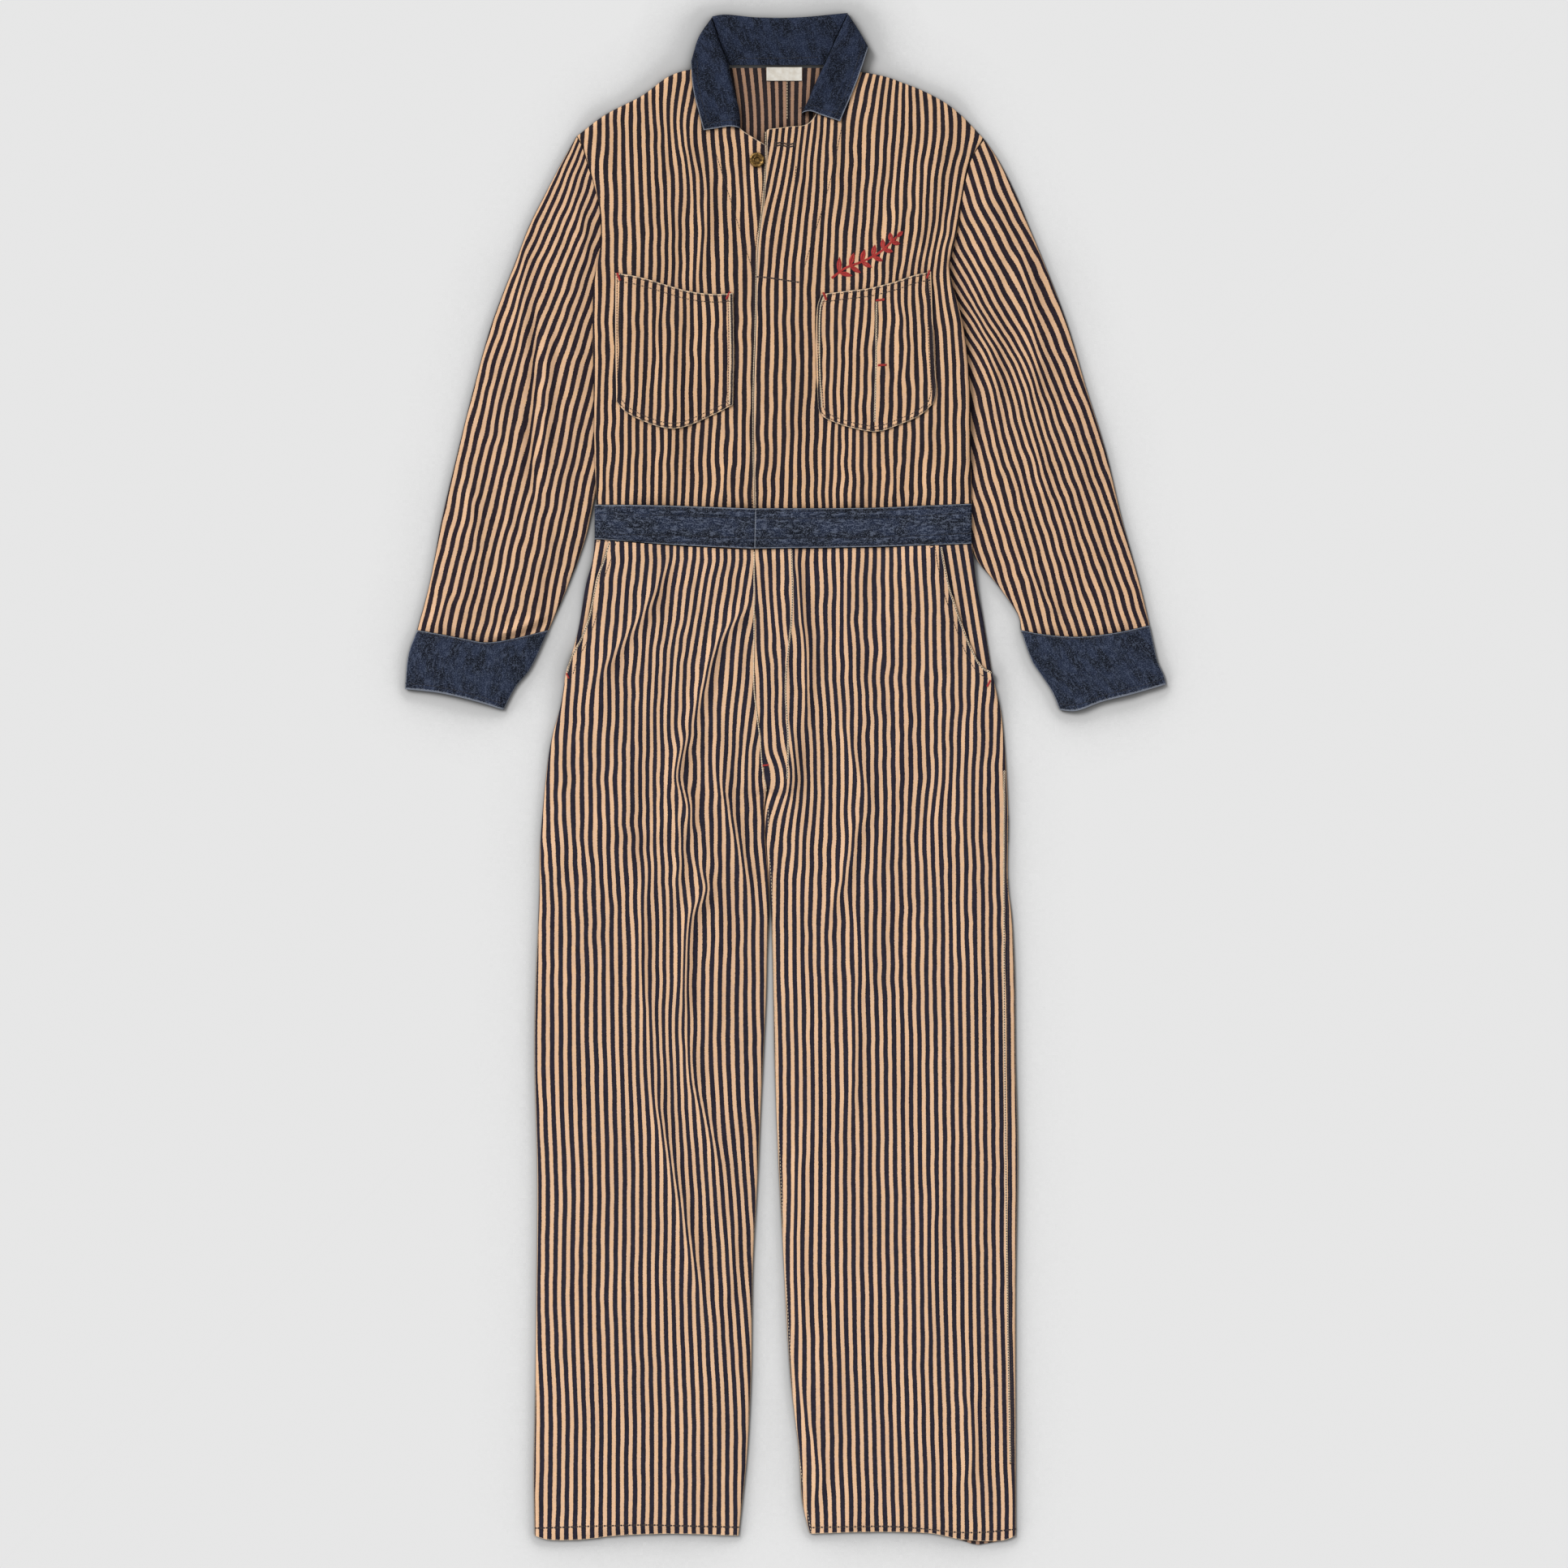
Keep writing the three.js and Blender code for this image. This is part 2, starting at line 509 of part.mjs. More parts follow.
// Waistband: one back piece and two fronts, the left one lapping over the right one
function waistband() {
  const back = blend({
    bottom: stations([LINES.legTopBackRight, BACK_COLUMNS], [LINES.legTopBackLeft, BACK_COLUMNS]),
    top: stations([LINES.waistBackRight, BACK_COLUMNS], [LINES.waistBackLeft, BACK_COLUMNS]),
    left: stations([LINES.bandEndRight, 1]),
    right: stations([LINES.bandEndLeft, 1]),
  });
  const right = blend({
    bottom: stations([LINES.bandBottomRight, FRONT_COLUMNS - 1], [LINES.bandBottomUnderlap, 1]),
    top: stations([LINES.waistRight, FRONT_COLUMNS - 1], [LINES.waistUnderlap, 1]),
    left: stations([LINES.bandEndRight, 1]),
    right: stations([LINES.bandEndUnderlap, 1]),
  });
  const left = blend({
    bottom: stations([LINES.bandBottomLeft, FRONT_COLUMNS]),
    top: stations([LINES.waistLeft, FRONT_COLUMNS]),
    left: stations([LINES.bandEndOver, 1]),
    right: stations([LINES.bandEndLeft, 1]),
  });
  const front = (x, y) => BAND_BASE + frontLift(x, y);
  add('waistband_back', sheet(back, backLift, BAND), denim);
  add('waistband_front_right', sheet(right, front, BAND), denim);
  add('waistband_front_left', sheet(left, (x, y) => front(x, y) + BAND_LAP * closureLap(x, y), BAND), denim);
}

// Backs of the legs, which lie flat on the surface
function legBacks() {
  const outer = INSEAM_STEPS + FLY_STEPS - MOUTH_STEPS;
  const right = blend({
    bottom: stations([LINES.hemRight, BACK_LEG_COLUMNS]),
    top: stations([LINES.legTopBackRight, BACK_LEG_COLUMNS]),
    left: stations([LINES.outseamRight, outer], [LINES.hipRight, MOUTH_STEPS]),
    right: stations([LINES.inseamRight, INSEAM_STEPS], [LINES.riseBack, FLY_STEPS]),
  });
  const left = blend({
    bottom: stations(
      [LINES.hemBackLeft, BACK_LEG_COLUMNS - 2], [LINES.hemBackLeftDip, 1], [LINES.hemBackLeftRise, 1],
    ),
    top: stations([LINES.legTopBackLeft, BACK_LEG_COLUMNS]),
    left: stations([LINES.inseamLeft, INSEAM_STEPS], [LINES.riseBack, FLY_STEPS]),
    right: stations([LINES.outseamLeft, outer], [LINES.hipLeft, MOUTH_STEPS]),
  });
  add('back_leg_right', sheet(right, backLift, CLOTH), twill);
  add('back_leg_left', sheet(left, backLift, CLOTH), twill);
}

// Fronts of the legs: cut away at the hip pockets' mouths, the left one lapping over at the fly
function legFronts() {
  const outer = INSEAM_STEPS + FLY_STEPS - MOUTH_STEPS;
  const right = blend({
    bottom: stations([LINES.hemRight, LEG_COLUMNS]),
    top: stations([LINES.legTopRight, LEG_COLUMNS]),
    left: stations([LINES.outseamRight, outer], [LINES.mouthRight, MOUTH_STEPS]),
    right: stations([LINES.inseamRight, INSEAM_STEPS], [LINES.flyUnder, FLY_STEPS]),
  });
  const left = blend({
    bottom: stations([LINES.hemLeft, LEG_COLUMNS]),
    top: stations([LINES.legTopLeft, LEG_COLUMNS]),
    left: stations([LINES.inseamLeft, INSEAM_STEPS], [LINES.flyEdge, FLY_STEPS]),
    right: stations([LINES.outseamLeft, outer], [LINES.mouthLeft, MOUTH_STEPS]),
  });
  add('front_leg_right', sheet(right, legRightFloor, CLOTH), twill);
  add('front_leg_left', sheet(left, legLeftFloor, CLOTH), twill);
}

// Facings that show beyond the hip pockets' mouths and run a little way under the fronts
function hipFacings() {
  const underlap = 14;
  const drop = 1.2; // the waist seam falls that much over the underlap
  const shifted = (line, by) => line.map(([x, y], k) => [x + by, k === line.length - 1 ? y - drop : y]);
  const steps = MOUTH_STEPS;
  const mouthRight = stations([shifted(LINES.mouthRight, underlap), steps]);
  const mouthLeft = stations([shifted(LINES.mouthLeft, -underlap), steps]);
  const hipRight = stations([LINES.hipRight, steps]);
  const hipLeft = stations([LINES.hipLeft, steps]);
  const across = (a, b) => [a, a.clone().lerp(b, 0.5), b];
  const right = blend({
    bottom: across(hipRight[0], mouthRight[0]),
    top: across(hipRight[steps], mouthRight[steps]),
    left: hipRight,
    right: mouthRight,
  });
  const left = blend({
    bottom: across(mouthLeft[0], hipLeft[0]),
    top: across(mouthLeft[steps], hipLeft[steps]),
    left: mouthLeft,
    right: hipLeft,
  });
  add('hip_pocket_facing_right', sheet(right, frontFloor, CLOTH), twill);
  add('hip_pocket_facing_left', sheet(left, frontFloor, CLOTH), twill);
}

// Sleeves: flattened tubes whose inner folds run under the body's sides
function sleeves() {
  const outside = (x, y) => Math.max(xAt(SIDE_RIGHT, y) - x, x - xAt(SIDE_LEFT, y));
  const rise = (x, y, u) => {
    const clear = ease((outside(x, y) - 4) / 30);
    const puff = PUFF * Math.sin(Math.PI * u);
    const folds = foldHeight(SLEEVE_FOLDS, x, y) * ease(6 * Math.min(u, 1 - u));
    return Math.min(RISE_LIMIT, puff + folds) * clear;
  };
  const columns = ARMHOLE_STEPS + CAP_STEPS;
  const right = blend({
    bottom: stations([LINES.cuffSeamRight, columns]),
    top: stations([backwards(LINES.armholeRight), ARMHOLE_STEPS], [backwards(LINES.capHiddenRight), CAP_STEPS]),
    left: stations([LINES.sleeveOuterRight, SLEEVE_ROWS]),
    right: stations([LINES.sleeveInnerRight, SLEEVE_ROWS]),
  });
  const left = blend({
    bottom: stations([LINES.cuffSeamLeft, columns]),
    top: stations([LINES.capHiddenLeft, CAP_STEPS], [LINES.armholeLeft, ARMHOLE_STEPS]),
    left: stations([LINES.sleeveInnerLeft, SLEEVE_ROWS]),
    right: stations([LINES.sleeveOuterLeft, SLEEVE_ROWS]),
  });
  add('sleeve_right', tube(right, rise, CLOTH), twill);
  add('sleeve_left', tube(left, rise, CLOTH), twill);
}

// Cuffs: flattened tubes of two plies
function cuffs() {
  const columns = ARMHOLE_STEPS + CAP_STEPS;
  const rise = (x, y, u) => 0.8 * PUFF * Math.sin(Math.PI * u);
  const right = blend({
    bottom: stations([LINES.cuffOpenRight, columns]),
    top: stations([LINES.cuffSeamRight, columns]),
    left: stations([LINES.cuffOuterRight, CUFF_ROWS]),
    right: stations([LINES.cuffInnerRight, CUFF_ROWS]),
  });
  const left = blend({
    bottom: stations([LINES.cuffOpenLeft, columns]),
    top: stations([LINES.cuffSeamLeft, columns]),
    left: stations([LINES.cuffInnerLeft, CUFF_ROWS]),
    right: stations([LINES.cuffOuterLeft, CUFF_ROWS]),
  });
  add('cuff_right', tube(right, rise, BAND), denim);
  add('cuff_left', tube(left, rise, BAND), denim);
}

// Patch pockets on the chest, made on the fronts' own height
function chestPockets() {
  const floor = (x, y) => frontTop(x, y) + FIT;
  for (const side of ['Right', 'Left']) {
    const outer = stations([LINES[`pocketSide${side}`], POCKET_STEPS]);
    const inner = stations([LINES[`pocketInner${side}`], POCKET_STEPS]);
    const grid = blend({
      bottom: stations([LINES[`pocketBottom${side}`], POCKET_STEPS]),
      top: stations([LINES[`pocketTop${side}`], POCKET_STEPS]),
      left: side === 'Right' ? outer : inner,
      right: side === 'Right' ? inner : outer,
    });
    add(`chest_pocket_${side.toLowerCase()}`, sheet(grid, floor, CLOTH), twill);
  }
}

// Collar: a stand behind the neck that rolls over into a fall under it and a leaf on each front
function collar() {
  const neckTop = 746; // past the shoulders the leaves keep the height that they have there
  const skew = -0.6; // the turned edges run a little down as they go in
  const standFloor = () => FRONT_BASE;
  const fallFloor = () => 0;
  const leafFloor = (x, y) => frontTop(x, Math.min(y, neckTop)) + FIT;
  const topLine = stations([LINES.collarTop, COLLAR_COLUMNS]);
  const stand = blend({
    bottom: stations([LINES.collarSeam, COLLAR_COLUMNS]),
    top: topLine,
    left: stations([LINES.rollBackRight, COLLAR_ROWS]),
    right: stations([LINES.rollBackLeft, COLLAR_ROWS]),
  });
  const fall = blend({
    bottom: stations([LINES.fallHem, COLLAR_COLUMNS]),
    top: topLine,
    left: stations([LINES.wrapRight, COLLAR_ROWS]),
    right: stations([LINES.wrapLeft, COLLAR_ROWS]),
  });
  const leafRight = blend({
    bottom: stations([LINES.leafFrontRight, LEAF_COLUMNS]),
    top: stations([LINES.wrapRight, LEAF_COLUMNS]),
    left: stations([LINES.leafHemRight, LEAF_HEM_STEPS]),
    right: stations([LINES.rollFrontRight, ROLL_FRONT_STEPS], [LINES.rollBackRight, ROLL_BACK_STEPS]),
  });
  const leafLeft = blend({
    bottom: stations([LINES.leafFrontLeft, LEAF_COLUMNS]),
    top: stations([backwards(LINES.wrapLeft), LEAF_COLUMNS]),
    left: stations([LINES.rollFrontLeft, ROLL_FRONT_STEPS], [LINES.rollBackLeft, ROLL_BACK_STEPS]),
    right: stations([LINES.leafHemLeft, LEAF_HEM_STEPS]),
  });
  // A strip along a line, as wide as the cloth is thick, that joins two layers from base to top
  const turn = (line, inward, base, top) => {
    const outer = stations([line, LEAF_COLUMNS]);
    const grid = outer.map((point) => [point, point.clone().add(inward)]);
    const ordered = inward.x < 0 ? grid.map((row) => row.reverse()) : grid;
    return sheet(ordered, () => base, top - base);
  };
  const leafTop = leafFloor(-90, neckTop) + CLOTH;
  const intoRight = new THREE.Vector3(CLOTH, skew, 0);
  const intoLeft = new THREE.Vector3(-CLOTH, skew, 0);
  const topInner = topLine.map((point) => point.clone().add(new THREE.Vector3(0, -CLOTH, 0)));
  const turns = [
    turn(LINES.wrapRight, intoRight, 0, leafTop),
    turn(LINES.wrapLeft, intoLeft, 0, leafTop),
    turn(LINES.rollBackRight, intoRight, FRONT_BASE, leafTop),
    turn(LINES.rollBackLeft, intoLeft, FRONT_BASE, leafTop),
    sheet([topInner, topLine], () => 0, FRONT_BASE + CLOTH),
  ];
  const walls = [
    sheet(stand, standFloor, CLOTH),
    sheet(fall, fallFloor, CLOTH),
    sheet(leafRight, leafFloor, CLOTH),
    sheet(leafLeft, leafFloor, CLOTH),
  ];
  add('collar', join([...walls, ...turns]), denim);
}

// Neck label inside the back, left bare
function neckLabel() {
  const width = 37;
  const height = 14;
  const middle = { x: -1.5, y: 738 };
  const label = new THREE.BoxGeometry(width, height, LABEL);
  add('neck_label', label, tape).position.set(middle.x, middle.y, CLOTH + SEAM + LABEL / 2);
}

// Ring button at the top of the closure, on the wearer's right front
function button() {
  const profile = [
    [0, 0], [6.8, 0], [7.7, 0.9], [7.6, 2.0], [6.6, 2.9], [5.2, 2.7], [4.3, 1.6], [3.0, 1.2], [2.2, 2.0], [0, 2.2],
  ];
  const place = { x: -30, y: 647 };
  const sides = 18;
  const ring = new THREE.LatheGeometry(profile.map(([r, z]) => new THREE.Vector2(r, z)), sides);
  ring.rotateX(Math.PI / 2);
  add('button', ring, brass).position.set(place.x, place.y, frontTop(place.x, place.y) + FIT);
}

bodiceBacks();
bodiceFronts();
waistband();
legBacks();
legFronts();
hipFacings();
sleeves();
cuffs();
chestPockets();
collar();
neckLabel();
button();

export default garment;
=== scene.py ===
"""A striped work coverall that lies flat on its back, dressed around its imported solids.

Blender works in metres, with X to the wearer's left, Y from the hems to the collar and Z up.
The tables hold millimetres in the same frame, and every mesh is scaled by MM when it is made.
"""

import math
from collections import namedtuple

import bpy
import numpy as np
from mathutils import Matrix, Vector
from mathutils.bvhtree import BVHTree


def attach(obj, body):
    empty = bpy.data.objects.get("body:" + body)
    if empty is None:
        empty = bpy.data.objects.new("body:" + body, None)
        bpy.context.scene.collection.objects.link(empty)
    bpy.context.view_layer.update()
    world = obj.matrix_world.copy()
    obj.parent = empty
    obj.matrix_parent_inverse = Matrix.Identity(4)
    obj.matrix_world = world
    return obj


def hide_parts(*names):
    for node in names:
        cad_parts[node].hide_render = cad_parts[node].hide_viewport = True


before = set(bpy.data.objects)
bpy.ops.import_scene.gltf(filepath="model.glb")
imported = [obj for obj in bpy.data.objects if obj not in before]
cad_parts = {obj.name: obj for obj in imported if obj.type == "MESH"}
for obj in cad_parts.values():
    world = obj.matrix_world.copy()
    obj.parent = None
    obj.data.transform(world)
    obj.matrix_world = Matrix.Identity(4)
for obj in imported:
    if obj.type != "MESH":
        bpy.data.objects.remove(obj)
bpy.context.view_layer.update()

MM = 0.001

# Walls and gaps
CLOTH = 1.2
BAND = 1.6
SEAM = 0.3
HALF_SEAM = 0.25
CLEARANCE = 0.25  # between a patch and the cloth under it
FRONT_BASE = CLOTH + SEAM
LAP = 2.4  # rise of a front edge over the edge that it covers
SLEEVE_HEIGHT = 2 * CLOTH + SEAM
SIDE_LIFT = 3.3  # rise of the body's side over the sleeve under it
PUFF = 3.2  # soft rise of the front between its seams
RISE_LIMIT = 9.0
BACK_INSET = 1.5  # the front's rolled edge closes over the back's edge
ROLL = 5.0  # how far in a closed edge takes to reach its height
CROTCH = -13
BAND_ROWS = (3.2, 10.5, 31.0, 38.5)  # stitch rows of the waistband, down from its top edge

# Fineness of the grids
CELL = 3.6
BACK_CELL = 9.0
EDGE_STATIONS = (0.0, 0.7, 1.6, 2.9, 4.6, 7.0)
EDGE_FADE = 12  # how far in a moved edge carries the grid with it

PITCH = 8.8  # of the stripes
FLOOR_TONE = (227, 227, 227)

# Seam and edge lines in plan, [x, y], from the hem end upward or towards the wearer's left
LINES = {
    "waist_right": [(-198, 287), (-117, 286), (-33, 283)],
    "waist_underlap": [(-33, 283), (-11, 283.3)],
    "waist_left": [(-32, 283), (94, 284), (195, 288)],
    "waist_back_right": [(-198, 287), (-117, 286), (3, 283.5)],
    "waist_back_left": [(3, 283.5), (94, 284), (195, 288)],
    "side_right": [(-198, 287), (-200, 340), (-201, 408), (-202, 476), (-201, 515), (-193, 562)],
    "side_left": [
        (195, 288), (194, 340), (193, 408), (189, 455), (182, 491), (174, 520), (171, 537),
    ],
    "armhole_right": [(-193, 562), (-194, 592), (-200, 620), (-207, 642), (-213, 662), (-219, 673)],
    "armhole_left": [(171, 537), (180, 575), (184, 602), (188, 625), (195, 650), (208, 670)],
    "shoulder_right": [(-219, 673), (-190, 695), (-150, 716), (-122, 736), (-100, 743), (-59, 746)],
    "shoulder_left": [
        (40, 746), (103, 736), (123, 729), (141, 722), (166, 709), (184, 695), (208, 670),
    ],
    "neck_back_right": [(-59, 746), (-18, 746), (3, 746)],
    "neck_back_left": [(3, 746), (17, 746), (40, 746)],
    "underlap_edge": [(-11, 283.3), (-10, 434), (-8, 561), (-8, 657)],
    "neckline_right": [(-8, 657), (-21, 663), (-37, 673), (-48, 682), (-55, 710), (-59, 746)],
    "placket_edge": [
        (-32, 283), (-33, 340), (-33, 408), (-31, 476), (-30, 526), (-28, 564), (-23, 604),
        (-20, 649), (-20, 679),
    ],
    "neckline_left": [(-20, 679), (2, 682), (22, 685), (32, 697), (37, 722), (40, 746)],
    "centre_back": [(3, 283.5), (3, 746)],
    "band_bottom_right": [(-200, 251), (-117, 245), (-34, 241)],
    "band_bottom_underlap": [(-34, 241), (-8, 241)],
    "band_bottom_left": [(-33, 241), (94, 243), (195, 246)],
    "band_end_right": [(-200, 251), (-200, 287)],
    "band_end_underlap": [(-8, 241), (-11, 283.3)],
    "band_end_over": [(-33, 241), (-32, 283)],
    "band_end_left": [(195, 246), (195, 288)],
    "leg_top_right": [(-185, 249.2), (-117, 244.4), (-34, 240.3), (-8, 240.3)],
    "leg_top_left": [(-32, 240.7), (94, 242.6), (164, 244.6)],
    "leg_top_back_right": [(-200, 251), (-117, 245), (3, 241)],
    "leg_top_back_left": [(3, 241), (94, 243), (195, 246)],
    "hip_right": [(-230, 112), (-218, 153), (-209, 204), (-202, 230), (-200, 251)],
    "hip_left": [(216, 112), (207, 167), (200, 203), (195, 246)],
    "mouth_right": [
        (-230, 112), (-225, 128), (-215, 147), (-207, 168), (-198, 209), (-190, 232), (-185, 249.2),
    ],
    "mouth_left": [
        (216, 112), (206, 118), (197, 133), (188, 154), (178, 182), (172, 201), (166, 229),
        (164, 244.6),
    ],
    "outseam_right": [
        (-263, -792), (-264, -731), (-263, -672), (-261, -544), (-260, -416), (-263, -289),
        (-262, -221), (-258, -119), (-257, -68), (-252, -8), (-246, 38), (-236, 76), (-230, 112),
    ],
    "outseam_left": [
        (241, -792), (241, -672), (241, -544), (243, -391), (241, -289), (240, -204), (237, -144),
        (233, -110), (233, -34), (230, 26), (226, 68), (216, 112),
    ],
    "fly_under": [(-19, -13), (-14, 26), (-8, 136), (-8, 240.3)],
    "fly_edge": [
        (-19, -13), (-23, 8), (-26, 44), (-29, 67), (-32, 94), (-32, 158), (-32, 240.7),
    ],
    "rise_back": [(-19, -13), (-6, 60), (3, 150), (3, 241)],
    "inseam_right": [
        (-49, -792), (-45, -756), (-40, -706), (-36, -629), (-34, -510), (-29, -416), (-26, -348),
        (-23, -289), (-20, -226), (-19, -183), (-17, -128), (-20, -89), (-22, -62), (-23, -34),
        (-19, -13),
    ],
    "inseam_left": [
        (25, -790), (17, -756), (14, -706), (5, -629), (-2, -510), (-7, -416), (-10, -348),
        (-12, -289), (-13, -230), (-14, -183), (-16, -128), (-18, -89), (-20, -62), (-21, -34),
        (-19, -13),
    ],
    "hem_right": [(-263, -792), (-249, -796), (-214, -796), (-177, -792), (-117, -790), (-49, -792)],
    "hem_left": [(25, -790), (95, -788), (155, -790), (184, -796), (227, -797), (241, -792)],
    "hem_back_left": [(25, -790), (95, -788), (155, -790)],
    "hem_back_left_dip": [(155, -790), (184, -797), (199, -802)],
    "hem_back_left_rise": [(199, -802), (227, -797), (241, -792)],
    "cap_hidden_right": [(-184, 500), (-190, 531), (-193, 562)],
    "cap_hidden_left": [(168, 502), (169, 520), (171, 537)],
    "sleeve_outer_right": [
        (-386, 156), (-373, 204), (-360, 272), (-344, 340), (-327, 408), (-308, 476), (-282, 544),
        (-269, 578), (-252, 612), (-234, 646), (-219, 673),
    ],
    "sleeve_inner_right": [
        (-248, 156), (-227, 204), (-209, 253), (-201, 289), (-190, 340), (-182, 391), (-180, 442),
        (-184, 500),
    ],
    "sleeve_outer_left": [
        (381, 161), (371, 204), (352, 272), (336, 340), (315, 408), (295, 476), (269, 544),
        (255, 578), (241, 612), (224, 646), (208, 670),
    ],
    "sleeve_inner_left": [
        (246, 156), (244, 170), (221, 204), (200, 230), (188, 264), (180, 306), (175, 357),
        (172, 408), (170, 459), (168, 502),
    ],
    "cuff_seam_right": [(-386, 156), (-363, 152), (-337, 147), (-314, 143), (-285, 147), (-248, 156)],
    "cuff_open_right": [(-398.6, 94), (-363, 90), (-324, 81), (-295, 72)],
    "cuff_outer_right": [(-398.6, 94), (-395, 131), (-386, 156)],
    "cuff_inner_right": [(-295, 72), (-282, 97), (-268, 114), (-248, 156)],
    "cuff_seam_left": [(246, 156), (266, 152), (305, 149), (344, 153), (381, 161)],
    "cuff_open_left": [(287, 72), (303, 71), (332, 81), (364, 89), (398.6, 99)],
    "cuff_outer_left": [(398.6, 99), (396, 109), (390, 122), (386, 138), (381, 161)],
    "cuff_inner_left": [(287, 72), (279, 91), (268, 108), (258, 123), (246, 156)],
    "pocket_top_right": [(-178, 529), (-151, 524), (-126, 517), (-100, 510), (-75, 507), (-55, 508)],
    "pocket_side_right": [(-177, 395), (-178, 459), (-178, 529)],
    "pocket_inner_right": [(-55, 391), (-54, 459), (-55, 508)],
    "pocket_bottom_right": [
        (-177, 395), (-170, 386), (-156, 377), (-117, 366), (-75, 381), (-55, 391),
    ],
    "pocket_top_left": [(37, 507), (61, 510), (87, 513), (112, 519), (133, 526), (152, 530)],
    "pocket_inner_left": [(34, 388), (32, 433), (33, 494), (37, 507)],
    "pocket_side_left": [(154, 392), (157, 403), (155, 449), (152, 530)],
    "pocket_bottom_left": [(34, 388), (39, 379), (92, 363), (121, 371), (142, 381), (154, 392)],
    "collar_top": [(-77, 798), (-65, 800), (-30, 797), (13, 797), (65, 801.6)],
    "collar_seam": [(-59, 747), (-18, 747), (17, 747), (40, 747)],
    "fall_hem": [(-99, 751), (-60, 757), (0, 758), (50, 762), (87, 766)],
    "roll_back_right": [(-59, 747), (-68, 770), (-77, 798)],
    "roll_back_left": [(40, 747), (51, 772), (65, 801.6)],
    "roll_front_right": [(-47, 680), (-48, 698), (-53, 719), (-59, 747)],
    "roll_front_left": [(16, 696), (23, 710), (32, 731), (40, 747)],
    "wrap_right": [(-99, 751), (-91, 777), (-77, 798)],
    "wrap_left": [(87, 766), (76, 785), (65, 801.6)],
    "leaf_hem_right": [(-86, 678), (-97, 722), (-99, 751)],
    "leaf_hem_left": [(57, 687), (76, 733), (87, 766)],
    "leaf_front_right": [(-86, 678), (-59, 682), (-47, 680)],
    "leaf_front_left": [(16, 696), (25, 698), (37, 694), (57, 687)],
}

# A fold's half width, its height, the cloth that it takes up, and its line in plan
Fold = namedtuple("Fold", "width height takes line")

BODY_FOLDS = [
    Fold(11, 3.4, 3.5, [(-105, 680), (-100, 629), (-83, 561)]),
    Fold(9, 3.0, 4, [(-93, 650), (-80, 610), (-86, 560), (-95, 515)]),
    Fold(9, 2.2, 2, [(-196, 518), (-196, 391)]),
    Fold(8, 2.6, 3, [(-193, 330), (-186, 300)]),
    Fold(7, 2.0, 3, [(-60, 330), (-66, 296)]),
    Fold(12, 3.4, 0, [(118, 548), (150, 541), (171, 537)]),
    Fold(10, 3.0, 4, [(84, 528), (112, 562), (122, 600)]),
    Fold(11, 2.2, 2, [(150, 640), (138, 560)]),
    Fold(11, 2.8, 2, [(48, 340), (78, 306)]),
    Fold(8, 2.2, 3, [(110, 330), (118, 296)]),
    Fold(7, 4.6, 7, [(-35, 185), (-69, 144), (-88, 90), (-99, 51)]),
    Fold(8, 3.6, 6, [(-118, 236), (-138, 190), (-172, 140), (-202, 99)]),
    Fold(8, 5.4, 10, [(-99, 51), (-114, 3), (-101, -25), (-99, -58)]),
    Fold(6, 3.0, 5, [(-116, -30), (-108, -70), (-112, -110)]),
    Fold(8, 5.2, 9, [(-97, -83), (-82, -114), (-99, -144), (-105, -198), (-103, -252)]),
    Fold(8, 3.6, 6, [(-73, 8), (-58, -36), (-46, -79), (-38, -118)]),
    Fold(11, 3.2, 2, [(-203, -36), (-149, -58), (-118, -47)]),
    Fold(11, 2.6, 2, [(-258, -70), (-229, -101)]),
    Fold(9, 3, 3.5, [(-140, -88), (-149, -144), (-151, -198), (-138, -275)]),
    Fold(8, 3.8, 6, [(-104, -260), (-98, -315), (-80, -363), (-69, -405)]),
    Fold(8, 4.4, 7, [(-140, -320), (-122, -392), (-104, -467), (-87, -543)]),
    Fold(10, 2.8, 3, [(-58, -469), (-55, -528), (-60, -549)]),
    Fold(6, 3.6, 6, [(9, 238), (17, 170), (22, 120), (22, 60)]),
    Fold(12, 2.2, 2, [(60, 226), (66, 150), (90, 60)]),
    Fold(9, 3.6, 4, [(62, 56), (70, 28), (84, -8), (88, -32)]),
    Fold(9, 3.8, 4.5, [(88, -32), (74, -54), (66, -86), (45, -146)]),
    Fold(11, 3.0, 3, [(64, -111), (78, -170), (94, -231)]),
    Fold(8, 3.0, 4, [(5, 62), (9, 20), (1, -20)]),
    Fold(8, 2.6, 3.5, [(74, -190), (73, -290), (68, -360)]),
    Fold(10, 2.8, 3, [(14, -374), (10, -480), (16, -595)]),
    Fold(8, 3.2, 3.5, [(8, -610), (20, -660), (36, -728), (26, -764)]),
    Fold(9, 2.6, 3, [(190, -640), (197, -690), (188, -740)]),
    Fold(14, 2.0, 2, [(160, -420), (150, -520), (158, -600)]),
]
